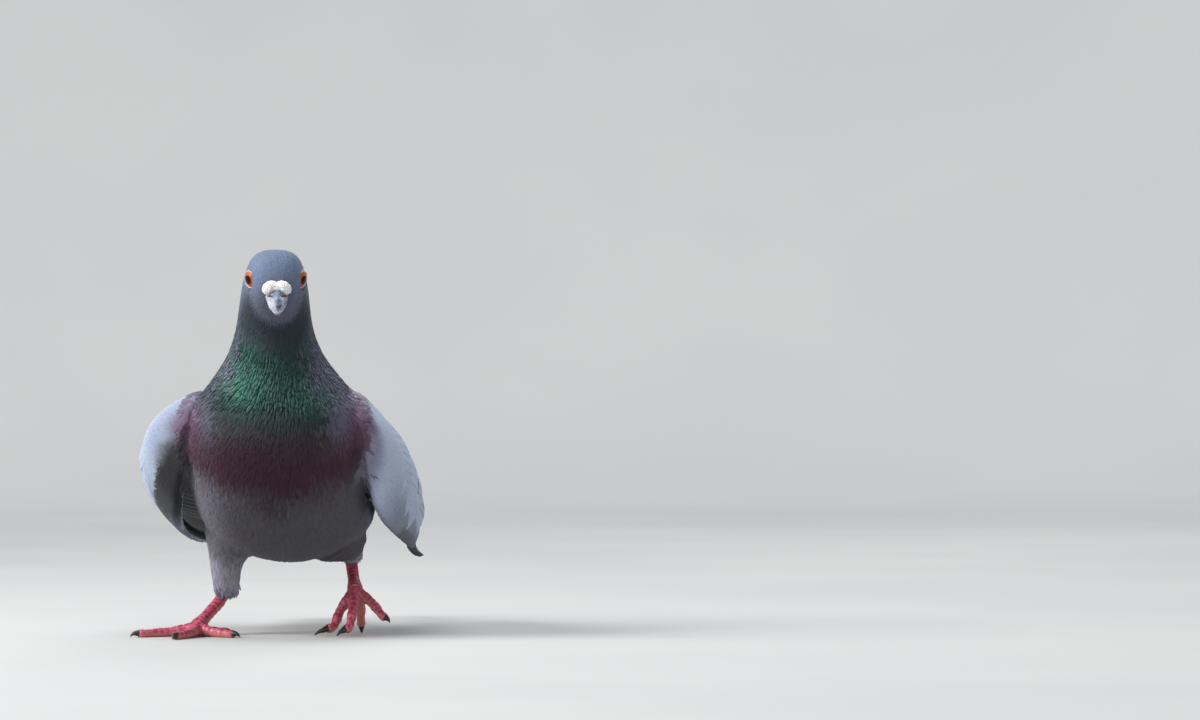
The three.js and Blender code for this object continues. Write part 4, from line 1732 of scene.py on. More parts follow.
LEGS = {
    Side.RIGHT: Leg(
        Side.RIGHT,
        8.0,
        (-26, 14, 58, 16),
        (-29, 19, 39, 9.4),
        (-29, 23, 27, 8),
        (-31.5, 24, 20.5),
        (-45, 0, 4.4),
        (
            Digit("outer", ((-60, -1.5, 2.6), (-73, -6, 1.9)), ((-78.5, -8, 2), (-81.5, -9, 0.5))),
            Digit("middle", ((-48.5, -14, 2.6), (-54.6, -28, 1.9)), ((-56.6, -33.5, 2), (-57.6, -36.5, 0.5))),
            Digit("inner", ((-35.5, -6.5, 2.6), (-27.5, -13, 1.9)), ((-23.5, -16, 2), (-21, -18, 0.5))),
            Digit("hind", ((-38, 6.5, 2.6), (-31.5, 11, 1.9)), ((-28, 13, 2), (-25.5, 14.5, 0.5))),
        ),
    ),
    Side.LEFT: Leg(
        Side.LEFT,
        20.0,
        (30, 16, 58, 16),
        (37, 19, 52, 12),
        (40, 23, 47, 8.5),
        (41, 25, 42),
        (43, 0, 24),
        (
            Digit("outer", ((51.5, -3, 18.5), (57.5, -8, 11.5)), ((60.6, -10.5, 9.2), (62, -12, 7.2))),
            Digit("middle", ((41.5, -10, 15), (39.7, -18, 5.8)), ((35.8, -21.5, 3.2), (32.4, -24, 0.5))),
            Digit("inner", ((35.2, -2.5, 14.5), (31.2, -8, 5.6)), ((25.5, -12.5, 3.2), (20, -15, 0.5))),
            Digit("hind", ((46, 8.5, 17), (46.4, 13.5, 8)), ((46.8, 16.5, 3.4), (47, 19, -0.6))),
        ),
    ),
}


# ---------------- skin


@dataclass
class Skin:
    """One closed skin over head, neck, trunk, tail base, wing arms and thighs."""

    markings: Markings
    lie: Lie
    voxel: float = 1.4
    tube_grid: tuple[int, int] = (150, 84)
    arm_count: int = 56
    arm_share: float = 0.92
    smoothing: int = 8
    crease_smoothing: int = 70
    inset_head: float = 0.5
    inset_body: float = 1.0
    inset_wing: float = -0.4
    belly_drop: float = 7.0
    flank_out: float = 4.0
    socket_rim: float = 3.4
    socket_depth: float = 0.9
    made: Piece | None = None
    coords: Array | None = None
    tract: Array | None = None

    def trunk(self) -> Piece:
        """Head, neck, trunk and tail base as one closed tube.

        Returns:
            The tube.
        """
        tube = FRAMES.from_trunk(BODY.surface(*BODY.grid(*self.tube_grid)))
        made = mesh_object("skin", tube.reshape(-1, 3), grid_faces(*self.tube_grid, around=True))
        edit(made, fill_holes={"sides": self.tube_grid[1]}, normals_make_consistent=OUTWARDS)
        return made

    def arm(self, side: Side) -> Piece:
        """A wing's arm as a closed plate.

        Args:
            side: Which wing.

        Returns:
            The plate.
        """
        grids = (WINGS[side].arm(self.arm_count, under) for under in (False, True))
        outer, inner = (FRAMES.from_trunk(grid).reshape(-1, 3) for grid in grids)
        inner = outer + (inner - outer) * self.arm_share
        faces = slab_faces(self.arm_count, self.arm_count)
        plate = mesh_object(f"arm_{side.word}", np.concatenate([outer, inner]), faces)
        edit(plate, normals_make_consistent=OUTWARDS)
        return plate

    def build(self, nodes: dict[str, Piece]) -> Piece:
        """Joins the flesh, remeshes it in one and draws it in by the coat's depth.

        Args:
            nodes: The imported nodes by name.

        Returns:
            The skin.
        """
        body = self.trunk()
        parts = [self.arm(side) for side in Side]
        parts += [copy_of(nodes[f"thigh_{side.word}"], f"leg_{side.word}") for side in Side]
        alone(body, *parts)
        bpy.ops.object.join()
        remesh(body, self.voxel, self.smoothing)
        body = largest_part(body)
        self.fill_crease(body)
        points = mesh_points(body)
        spots = self.lie.find(points)
        found = spots.main
        self.tract, self.coords = self.lie.tract[found], self.lie.coords[found]
        head = (self.tract == Tract.BODY.value) * fade(self.coords[:, 0], 4.5, 8.0)
        depth = mix(self.inset_body, self.inset_head, head)
        wing = (self.tract == Tract.WING_OUT.value) * fade(self.coords[:, 0], 0.35, 0.5)
        depth = mix(depth, self.inset_wing, wing * spots.weight.max(axis=1))
        move_points(body, self.filled(points - mesh_normals(body) * depth[:, None]))
        self.sink_sockets(body)
        colour, gloss = self.colours(mesh_points(body), spots)
        paint_mesh(body, "plumage", colour)
        paint_mesh(body, "gloss", gloss * 0.3)
        paint_mesh(body, "OFBake", self.lie.unwrap[found])
        self.made = body
        gone = ("head", "neck", "torso", "thigh_right", "thigh_left")
        return dress(body, SkinFinish().material(), "body_feathers", *gone)

    def filled(self, points: Array) -> Array:
        """Lets the belly hang lower and the left flank swell out.

        Args:
            points: The skin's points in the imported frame.

        Returns:
            Their places after it.
        """
        x, y, z = FRAMES.to_trunk(points).T
        place, angle = self.coords.T
        on_body = self.tract == Tract.BODY.value
        lowest = on_body * smooth(-np.sin(angle), 0.3, 0.95)
        lowest = lowest * np.exp(-(((x - 4) / 26) ** 2) - ((place - 13.2) / 1.5) ** 2)
        fuller = on_body * smooth(x, 18, 40) * np.exp(-(((z - 62) / 15) ** 2) - ((y - 6) / 34) ** 2)
        points = points + FRAMES.turned(np.array([1.0, 0.0, 0.0])) * (self.flank_out * fuller)[:, None]
        return points - UP * (self.belly_drop * lowest)[:, None]

    def fill_crease(self, body: Piece) -> None:
        """Smooths the valley between the breast and the left wing, which lies close to it.

        Args:
            body: The skin.
        """
        points = mesh_points(body)
        x, y, z = FRAMES.to_trunk(points).T
        away = np.array([[tree.find(p)[2] for tree in self.lie.trees[:2]] for p in points.tolist()])
        share = fade(away.max(axis=1), 3.5, 9.0) * smooth(x, 20, 30) * fade(y, -14, -4)
        share = share * smooth(z, 82, 92)
        group = body.vertex_groups.new(name="crease")
        for index in np.flatnonzero(share > 0.05).tolist():
            group.add([index], float(share[index]), "REPLACE")
        apply_modifier(body, "SMOOTH", factor=0.5, iterations=self.crease_smoothing, vertex_group="crease")
        body.vertex_groups.clear()

    def sink_sockets(self, body: Piece) -> None:
        """Draws the skin in under the rim of each eye, so that the whole eye shows.

        Args:
            body: The skin.
        """
        points = mesh_points(body)
        for side in Side:
            eye = Eye(side)
            away, reach = eye.reach(points)
            rim = eye.lid_radius + self.socket_rim
            limit = eye.lid_distance - self.socket_depth + 6.0 * smooth(away, eye.lid_radius + 0.2, rim)
            near = (reach > 0) & (away < rim)
            extra = np.where(near, np.maximum(reach - limit, 0), 0)
            points = points - eye.axis() * extra[:, None]
        move_points(body, points)

    def colours(self, points: Array, spots: Spots) -> tuple[Array, Array]:
        """The markings at any points of the bird.

        Args:
            points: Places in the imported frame.
            spots: Where they lie on the bird.

        Returns:
            Colour and gloss of each.
        """
        local = FRAMES.to_trunk(points)
        colour, gloss = np.zeros_like(points), np.zeros(len(points))
        for column in range(len(TRACT_GROUPS)):
            index, share = spots.index[:, column], spots.weight[:, column]
            part = self.markings.at(self.lie.tract[index], self.lie.coords[index], local)
            colour += part[0] * share[:, None]
            gloss += part[1] * share
        return colour, gloss


# ---------------- coat of small feathers


@dataclass
class Plan:
    """Sizes of the small feathers along the body, and on wings and thighs, in millimetres."""

    places: Row = (0, 2, 5, 6.5, 8, 10, 11.5, 14, 16, 18)
    front: tuple[Row, ...] = (
        (0.62, 0.8, 0.85, 0.98, 1.05, 1.1, 1.2, 1.5, 2.2, 2.6),
        (1.8, 4.0, 5.5, 8.0, 9.5, 10.5, 11.5, 14.0, 18.0, 22.0),
        (0.8, 1.1, 1.25, 1.5, 1.75, 2.0, 2.4, 3.2, 5.5, 7.0),
        (0.2, 0.24, 0.32, 0.5, 0.55, 0.48, 0.42, 0.5, 1.0, 1.4),
    )
    back: tuple[Row, ...] = (
        (0.62, 0.8, 0.85, 1.0, 1.2, 1.7, 2.0, 2.4, 2.8, 3.0),
        (1.8, 4.0, 5.5, 8.0, 10.0, 12.0, 14.0, 17.0, 20.0, 24.0),
        (0.8, 1.1, 1.25, 1.6, 2.2, 4.5, 6.5, 8.0, 9.5, 10.0),
        (0.2, 0.24, 0.32, 0.42, 0.36, 0.22, 0.2, 0.24, 0.5, 0.8),
    )
    wing_front: Row = (0.95, 4.2, 2.0, 0.11)
    wing_rear: Row = (1.5, 9.0, 4.0, 0.18)
    thigh: Row = (1.2, 13.0, 1.7, 0.5)

    def sizes(self, tract: Array, coords: Array) -> Array:
        """Spacing, length, width and lift at each place.

        Args:
            tract: Part of the bird at each place.
            coords: Its coordinates there.

        Returns:
            Four columns.
        """
        place, angle = coords.T
        front, back = (
            np.stack([np.interp(place, self.places, row) for row in rows], -1)
            for rows in (self.front, self.back)
        )
        sizes = mix(front, back, smooth(np.sin(angle), -0.1, 0.5)[:, None])
        on = (tract == Tract.WING_OUT.value) | (tract == Tract.WING_IN.value)
        rear = smooth(place[on], 0.05, 0.4)[:, None]
        sizes[on] = mix(self.wing_front, self.wing_rear, rear)
        on = tract == Tract.THIGH.value
        sizes[on] = self.thigh
        sizes[on, 1] *= 1.15 - 0.5 * place[on]
        return sizes


@dataclass(frozen=True)
class Leaf:
    """One piece of the coat: its slot, how uneven its tones are, and each feather's outline."""

    piece: str
    slot: str
    unevenness: float
    rows: Row = (0.2, 0.5, 0.8)
    shape: Row = (0.7, 1.0, 0.66)


class Zone(Enum):
    """Pieces of the coat."""

    HEAD = Leaf("head_coat", "head_feathers", 0.06, (0.3, 0.72), (0.8, 0.9))
    NECK = Leaf("neck_coat", "neck_feathers", 0.26)
    BREAST = Leaf("breast_coat", "neck_feathers", 0.14)
    BELLY = Leaf("belly_coat", "body_feathers", 0.08)
    BACK = Leaf("back_coat", "body_feathers", 0.05, (0.2, 0.48, 0.76, 0.94), (0.6, 0.95, 1.0, 0.6))
    THIGHS = Leaf("thigh_coat", "body_feathers", 0.22)
    WINGS = Leaf("wing_coat", "wing_feathers", 0.03, (0.2, 0.5, 0.82), (0.7, 1.0, 0.75))


@dataclass
class Coat:
    """All small feathers: closed leaves rooted in the skin, lying along the tracts."""

    skin: Skin
    lie: Lie
    plan: Plan = field(default_factory=Plan)
    finish: FeatherFinish = FeatherFinish(
        "small_feathers", 3.0, slope=10.0, fringe=0.08, root_shade=0.72, sheen=0.1
    )
    sink: float = 0.35
    bed: float = 0.1
    bed_width: float = 2.0
    thick: float = 0.1
    camber: float = 0.16
    camber_most: float = 0.1
    droop_most: float = 0.1
    most_swell: float = 8.0
    crease: float = 1.0
    covered: float = 0.44
    borders: Triple = (6.0, 9.0, 11.8)
    tries: int = 6
    stray: float = 2.2
    seed: int = 11

    def scatter(self) -> tuple[Array, Array]:
        """Many places on the skin, closer together where feathers are small, and their spacing.

        Returns:
            The places and the spacing at each.
        """
        rng = np.random.default_rng(self.seed)
        mesh = self.skin.made.data
        mesh.calc_loop_triangles()
        corners = rows_of(mesh.loop_triangles, "vertices", 3, np.int32)
        a, b, c = np.moveaxis(mesh_points(self.skin.made)[corners], 1, 0)
        area = np.linalg.norm(np.cross(b - a, c - a), axis=1) / 2
        first = corners[:, 0]
        spacing = self.plan.sizes(self.skin.tract[first], self.skin.coords[first])[:, 0]
        weight = area / spacing**2
        count = int(weight.sum() * self.tries)
        pick = rng.choice(len(corners), count, p=weight / weight.sum())
        r, s = rng.random(count), rng.random(count)
        flip = r + s > 1
        r[flip], s[flip] = 1 - r[flip], 1 - s[flip]
        spots = a[pick] + (b[pick] - a[pick]) * r[:, None] + (c[pick] - a[pick]) * s[:, None]
        return spots, spacing[pick]

    def roots(self, keep_off: list[tuple[BVHTree, float]]) -> tuple[Array, Spots]:
        """Places of the feathers on the skin, spaced by their size.

        Args:
            keep_off: Bare pieces, each with the room that it is given.

        Returns:
            Points and where they lie on the bird.
        """
        spots, spacing = self.scatter()
        tree = search_tree(spots)
        alive = bytearray(b"\x01") * len(spots)
        kept = []
        for index, spot in enumerate(spots.tolist()):
            if not alive[index]:
                continue
            for _, other, _ in tree.find_range(spot, spacing[index]):
                alive[other] = 0
            if all(bare.find_nearest(spot)[3] > room for bare, room in keep_off):
                kept.append(index)
        spots = spots[kept]
        where = self.lie.find(spots)
        shown = ~self.hidden(spots, where)
        return spots[shown], where.part(shown)

    def hidden(self, points: Array, where: Spots) -> Array:
        """Which places get no feather: under the flight feathers, at the cuffs and on the eyes.

        Args:
            points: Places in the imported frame.
            where: Where they lie on the bird.

        Returns:
            Whether each place stays bare.
        """
        tract = self.lie.tract[where.main]
        u, v = self.lie.coords[where.main].T
        inside = tract == Tract.WING_IN.value
        gone = (tract == Tract.WING_OUT.value) & (u > self.covered) & (v > 0.16) & (v < 0.78)
        gone |= inside & (where.weight.max(axis=1) < 0.8) & (u < 0.4)
        gone |= inside & (u > 0.5) & (v > 0.8)
        gone |= (tract == Tract.THIGH.value) & (u > 0.94)
        for side in Side:
            eye = Eye(side)
            away, reach = eye.reach(points)
            gone |= (reach > 0) & (away < eye.lid_radius + 0.35)
        return gone

    def zones(self, found: Array) -> list[tuple[Zone, Array]]:
        """Which feathers belong to each piece.

        Args:
            found: The nearest sample of each feather.

        Returns:
            The pieces, each with the choice of its feathers.
        """
        tract = self.lie.tract[found]
        place, angle = self.lie.coords[found].T
        nape, chest, belly = self.borders
        body = tract == Tract.BODY.value
        front = np.sin(angle) < 0.2
        return [
            (Zone.HEAD, body & (place < nape)),
            (Zone.NECK, body & (place >= nape) & (place < chest)),
            (Zone.BREAST, body & (place >= chest) & (place < belly) & front),
            (Zone.BELLY, body & (place >= belly) & front),
            (Zone.BACK, body & (place >= chest) & ~front),
            (Zone.THIGHS, tract == Tract.THIGH.value),
            (Zone.WINGS, (tract == Tract.WING_OUT.value) | (tract == Tract.WING_IN.value)),
        ]

    def leaves(
        self, zone: Zone, roots: Array, spots: Spots, tree: BVHTree, rng: np.random.Generator
    ) -> Array:
        """Shapes the feathers of one piece as leaves with rows of four points.

        Args:
            zone: The piece.
            roots: Places of the feathers.
            spots: Where they lie on the bird.
            tree: The skin's faces.
            rng: Draws the unevenness.

        Returns:
            The points of each leaf, from its root to its tip.
        """
        count, found = len(roots), spots.main
        sizes = self.plan.sizes(self.lie.tract[found], self.lie.coords[found])
        length = sizes[:, 1] * rng.uniform(0.85, 1.15, count)
        width = sizes[:, 2] * rng.uniform(0.85, 1.15, count)
        lift = sizes[:, 3] * rng.uniform(0.75, 1.2, count)
        normal = self.snap(roots, tree)[1]
        way = self.lie.way(spots)
        side = unit(np.cross(normal, way))
        way = unit(way + side * rng.normal(0, 0.09, count)[:, None])
        way = unit(way - normal * np.sum(way * normal, axis=1, keepdims=True))
        side = -np.cross(normal, way)
        stations = np.array([0.0, *zone.value.rows, 1.0])
        spine = roots[:, None] + way[:, None] * (stations[None, :, None] * length[:, None, None])
        snapped, ups = self.snap(spine, tree)
        if zone is Zone.THIGHS:
            loose = smooth(self.lie.coords[found, 0], 0.55, 0.85)[:, None] * smooth(stations, 0.25, 0.6)[None]
            snapped = mix(snapped, spine, loose[..., None])
            ups = unit(mix(ups, np.broadcast_to(normal[:, None], ups.shape), loose[..., None]))
        bed = self.bed * np.minimum(width, self.bed_width)[:, None]
        rise = lift[:, None] * stations[None] ** 1.2 + bed - (self.sink + bed) * (1 - stations[None]) ** 3
        centre = snapped + ups * rise[..., None]
        across = unit(side[:, None] - ups * np.sum(side[:, None] * ups, axis=2, keepdims=True))
        half = width[:, None] * (np.array([0.0, *zone.value.shape, 0.0]) / 2)[None]
        inner = slice(1, -1)
        drop = (rise - np.minimum(0.1 * half, self.droop_most))[:, inner, None]
        edges = []
        for sign in (-1, 1):
            aside = (across * (sign * half)[..., None])[:, inner]
            if zone is Zone.HEAD:
                edges.append(snapped[:, inner] + aside + ups[:, inner] * drop)
            else:
                foot, up = self.snap(spine[:, inner] + aside, tree)
                edges.append(foot + up * drop)
        top = (centre + ups * np.minimum(half * self.camber, self.camber_most)[..., None])[:, inner]
        low = top - ups[:, inner] * self.thick
        body = np.stack([edges[0], top, edges[1], low], axis=2).reshape(count, -1, 3)
        return np.concatenate([centre[:, :1], body, centre[:, -1:]], axis=1)

    def feathers(self, zone: Zone, roots: Array, spots: Spots, tree: BVHTree) -> Shell:
        """Makes the feathers of one piece, without those that fold over or swell up.

        Args:
            zone: The piece.
            roots: Places of the feathers.
            spots: Where they lie on the bird.
            tree: The skin's faces.

        Returns:
            The shell that holds them.
        """
        leaf = zone.value
        rng = np.random.default_rng(self.seed + len(leaf.piece))
        points = self.leaves(zone, roots, spots, tree, rng)
        faces = self.leaf_faces(len(leaf.rows))
        corners = points[:, faces] - points.mean(axis=1)[:, None, None]
        swell = np.einsum("nfi,nfi->n", corners[:, :, 0], np.cross(corners[:, :, 1], corners[:, :, 2]))
        fair = (swell > 0) & (swell < self.most_swell * np.median(swell))
        across = np.concatenate([[0.5], np.tile([0.0, 0.5, 1.0, 0.5], len(leaf.rows)), [0.5]])
        along = np.concatenate([[0.0], np.repeat(leaf.rows, 4), [1.0]])
        vane = np.stack([across, along], -1)
        bake = self.lie.unwrap[spots.main][:, None] + ((vane - 0.5) * BAKE_SIZE)[None]
        colour, gloss = self.skin.colours(roots + rng.normal(0, self.stray, roots.shape), spots)
        colour = colour * (1 + rng.uniform(-leaf.unevenness, leaf.unevenness, (len(roots), 1)))
        gloss = gloss * rng.uniform(0.5, 1.1, len(roots))
        count, each = int(fair.sum()), len(vane)
        shell = Shell()
        shell.add(
            points[fair].reshape(-1, 3),
            (faces[None] + (np.arange(count) * each)[:, None, None]).reshape(-1, 3),
            plumage=np.repeat(colour[fair], each, axis=0),
            gloss=np.repeat(gloss[fair], each),
            Vane=np.tile(vane, (count, 1)),
            OFBake=bake[fair].reshape(-1, 2),
        )
        return shell

    @staticmethod
    def snap(points: Array, tree: BVHTree) -> tuple[Array, Array]:
        """Nearest places on the skin and the skin's normals there.

        Args:
            points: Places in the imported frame.
            tree: The skin's faces.

        Returns:
            The places and the normals.
        """
        flat = points.reshape(-1, 3)
        hits = [tree.find_nearest(point)[:2] for point in flat.tolist()]
        spots = np.array([tuple(hit[0]) for hit in hits]).reshape(points.shape)
        ups = np.array([tuple(hit[1]) for hit in hits]).reshape(points.shape)
        return spots, ups

    @staticmethod
    def leaf_faces(rows: int) -> Array:
        """Triangles of one closed leaf with so many rows of four points.

        Args:
            rows: How many rows it has.

        Returns:
            Rows of three point numbers.
        """
        first, last, tip = 1, rows * 4 - 3, rows * 4 + 1
        pairs = ((0, 1), (1, 2), (2, 3), (3, 0))
        faces = [(0, first + 1, first), (0, first + 2, first + 1)]
        faces += [(0, first, first + 3), (0, first + 3, first + 2)]
        for a in range(first, last, 4):
            for p, q in pairs:
                faces += [(a + p, a + q, a + 4 + q), (a + p, a + 4 + q, a + 4 + p)]
        return np.array(faces + [(last + p, last + q, tip) for p, q in pairs])

    def build(self, keep_off: list[tuple[BVHTree, float]]) -> list[Piece]:
        """Makes every piece of the coat.

        Args:
            keep_off: Bare pieces, each with the room that it is given.

        Returns:
            The pieces.
        """
        tree = tree_of(self.skin.made)
        roots, spots = self.roots(keep_off)
        material = self.finish.material()
        made = []
        for zone, chosen in self.zones(spots.main):
            LOG.info("%s: %d feathers", zone.value.piece, int(chosen.sum()))
            shell = self.feathers(zone, roots[chosen], spots.part(chosen), tree)
            piece = shell.make(zone.value.piece)
            if zone is not Zone.NECK:
                piece.data.set_sharp_from_angle(angle=self.crease)
            made.append(dress(piece, material, zone.value.slot))
        return made


# ---------------- large feathers


@dataclass
class Vane:
    """A large feather's mesh: a closed blade with a shaft ridge and a rounded tip."""

    rows: int = 18
    columns: Row = (-1, -0.72, -0.38, -0.09, 0, 0.09, 0.38, 0.72, 1)
    thick: float = 0.34
    ridge: float = 0.3
    round_share: float = 0.12
    root_share: float = 0.5

    def stations(self) -> Array:
        """Shares of the length, closer together at the tip."""
        return 1 - (1 - np.linspace(0, 1, self.rows)) ** 1.25

    def halves(self, t: Array) -> Array:
        """Share of the half-width along the feather.

        Args:
            t: Shares of the length.

        Returns:
            The share at each.
        """
        grown = mix(self.root_share, 1.0, smooth(t, 0.0, 0.35))
        end = np.clip((t - 1 + self.round_share) / self.round_share, 0, 1)
        return grown * np.sqrt(np.clip(1 - end**2.2, 0.004, 1))

    def grid(
        self, shape: Callable[[Array, Array], tuple[Array, Array]]
    ) -> tuple[Array, Array, Array]:
        """Makes the blade.

        Args:
            shape: Gives points and ways out for shares along and across.

        Returns:
            Points, faces and the Vane map.
        """
        t, q = np.meshgrid(self.stations(), np.array(self.columns), indexing="ij")
        middle, out = shape(t, q * self.halves(t))
        ridge = self.ridge * np.exp(-((q / 0.08) ** 2)) * (1 - 0.7 * t)
        rim = 1 - 0.5 * np.abs(q) ** 3
        top = middle + out * (ridge + self.thick / 2 * rim)[..., None]
        low = middle - out * (self.thick / 2 * rim)[..., None]
        vane = np.stack([(q + 1) / 2, t], -1).reshape(-1, 2)
        points = np.concatenate([top.reshape(-1, 3), low.reshape(-1, 3)])
        return points, slab_faces(self.rows, len(self.columns)), np.concatenate([vane, vane])


def feather_patch(column: float, row: int, vane: Array) -> Array:
    """Places of a large feather on the sheet that looks are baked on, in a patch of its own."""
    return Patch(column, 0.01 + 0.018 * row, BAKE_SIZE, BAKE_SIZE).at(*vane.T)


@dataclass
class Tier:
    """One row of large wing feathers, from its root line to its tip line, both as y and v."""

    name: str
    count: int
    width: float
    depth: Pair
    tilt: float
    roots: tuple[Pair, Pair]
    tips: tuple[Pair, Pair]
    bar: Pair | None = None
    dark: bool = False
    stack: float = 0.0


@dataclass
class Wing:
    """A folded wing's coverts and flight feathers."""

    form: WingForm
    markings: Markings
    vane: Vane = field(default_factory=lambda: Vane(thick=0.18, ridge=0.16))
    seed: int = 5
    finish: FeatherFinish = FeatherFinish(
        "flight_feathers", 46.0, 16.0, 0.0001, 0.22, 0.2, 0.92, 0.03, 0.6, gleam=0.05
    )
    tiers: tuple[Tier, ...] = (
        Tier(
            "primaries", 9, 13.0, (6.0, 1.2), 0.2, ((-2, 0.74), (20, 0.88)), ((122, 0.6), (165, 0.9)),
            dark=True, stack=0.3,
        ),
        Tier(
            "secondaries", 14, 14.0, (5.0, 0.4), 0.25, ((28, 0.13), (-6, 0.7)), ((118, 0.1), (78, 0.88)),
            bar=(0.78, 0.94),
        ),
        Tier(
            "great_coverts", 13, 13.5, (4.6, 0.0), 0.25, ((12, 0.12), (-16, 0.76)), ((84, 0.1), (40, 0.88)),
            bar=(0.66, 0.88),
        ),
        Tier(
            "middle_coverts", 13, 12.5, (4.2, -0.3), 0.22, ((-2, 0.12), (-22, 0.72)), ((54, 0.12), (12, 0.86))
        ),
        Tier(
            "lesser_coverts", 12, 10.5, (3.6, -0.5), 0.2, ((-14, 0.12), (-28, 0.66)), ((30, 0.12), (-6, 0.82))
        ),
        Tier("scapulars", 6, 9.5, (4.2, -0.5), 0.2, ((28, 0.06), (-4, 0.1)), ((86, 0.06), (30, 0.12))),
    )

    def feather(self, tier: Tier, share: float, index: int) -> tuple[Array, Array, Array]:
        """One large feather laid along the wing's skin.

        Args:
            tier: Its row.
            share: Where it stands in the row.
            index: Its number.

        Returns:
            Points, faces and the Vane map.
        """
        root, tip = mix(*tier.roots, share), mix(*tier.tips, share)

        def shape(t: Array, q: Array) -> tuple[Array, Array]:
            """Points and ways out of the blade.

            Args:
                t: Shares of the length.
                q: Shares of the half-width.

            Returns:
                The points and the ways out.
            """
            y = mix(root[0], tip[0], t)
            u = np.interp(y, np.array(self.form.sections)[:, 0], np.linspace(0, 1, len(self.form.sections)))
            v = mix(root[1], tip[1], t)
            along, down = self.form.slopes(u, v)
            run = along * np.gradient(u, axis=0)[..., None] + down * np.gradient(v, axis=0)[..., None]
            out = self.form.out(u, v)
            across = unit(np.cross(run, out)) * (q * tier.width / 2)[..., None]
            uu, vv, uv = (np.sum(a * b, -1) for a, b in ((along, along), (down, down), (along, down)))
            pu, pv = np.sum(across * along, -1), np.sum(across * down, -1)
            area = uu * vv - uv * uv
            du, dv = (pu * vv - pv * uv) / area, (pv * uu - pu * uv) / area
            lower = np.sign(np.mean(dv * q)) if np.any(q) else 1.0
            depth = mix(tier.depth[0], tier.depth[1], t) + tier.stack * index - tier.tilt * q * lower
            if not tier.dark:
                depth = depth + smooth(share, 0.7, 1.0) * (0.4 + 0.7 * q * lower)
            spot = self.form.point(u + du, v + dv)
            out = self.form.out(u + du, v + dv)
            return FRAMES.from_trunk(spot - out * depth[..., None]), FRAMES.turned(out)

        return self.vane.grid(shape)

    def colour(self, tier: Tier, vane: Array, share: float, shade: float) -> Array:
        """Colours over one feather, from its place in the row and its own brightness, with painted shade on
        its lower face.

        Args:
            tier: Its row.
            vane: Its Vane map.
            share: Where it stands in the row.
            shade: Its brightness.

        Returns:
            Colour of each point.
        """
        q, t = vane[:, 0], vane[:, 1]
        looks, count = self.markings, len(vane)
        base = mix(looks.wing, looks.primary, smooth(share, 0.3, 0.55) if tier.dark else 0.0)
        rim = 0.2 * smooth(np.abs(q - 0.5), 0.38, 0.5)
        colour = lay(np.tile(base * shade, (count, 1)), looks.rim, rim)
        if tier.dark:
            colour = lay(colour, looks.bar, smooth(t, 0.55, 0.9) * smooth(share, 0.3, 0.6) * 0.7)
        # Painted shade: each feather's lower face is dark, fully on the primaries and by its place in the row
        # on the others.
        deep = mix(looks.under, looks.hollow, 1.0 if tier.dark else smooth(share, 0.15, 0.45))
        return lay(colour, deep, 0.9 * (np.arange(count) >= count // 2))

    @staticmethod
    def band(tier: Tier, vane: Array, share: float) -> Array:
        """How deep each point lies in the dark bar, which narrows to the hem: 1 in its middle.

        Args:
            tier: Its row.
            vane: Its Vane map.
            share: Where it stands in the row.

        Returns:
            The depth of each point, at most 0 outside the bar.
        """
        t = vane[:, 1] + 0.03 * (2 * vane[:, 0] - 1) ** 2
        if not tier.bar or share > 0.72:
            return np.zeros(len(t))
        low, high = tier.bar
        half = (high - low) / 2 * (1 - 0.8 * smooth(share, 0.4, 0.75))
        return (1 - np.abs(t - (low + high) / 2) / half) * (np.arange(len(t)) < len(t) // 2)

    def build(self) -> Piece:
        """Makes the wing's large feathers as one piece.

        Returns:
            The piece.
        """
        rng = np.random.default_rng(self.seed)
        shell = Shell()
        for number, tier in enumerate(self.tiers):
            for index in range(tier.count):
                share = index / (tier.count - 1)
                points, faces, vane = self.feather(tier, share, index)
                patch = feather_patch(0.5 + 0.04 * number, index, vane)
                colour = self.colour(tier, vane, share, rng.uniform(0.95, 1.04))
                gloss, bar = np.full(len(points), 0.15), self.band(tier, vane, share)
                shell.add(points, faces, plumage=colour, gloss=gloss, bar=bar, Vane=vane, OFBake=patch)
        word = self.form.side.word
        made = shell.make(f"flight_feathers_{word}")
        return dress(made, self.finish.material(), "wing_feathers", f"wing_{word}")


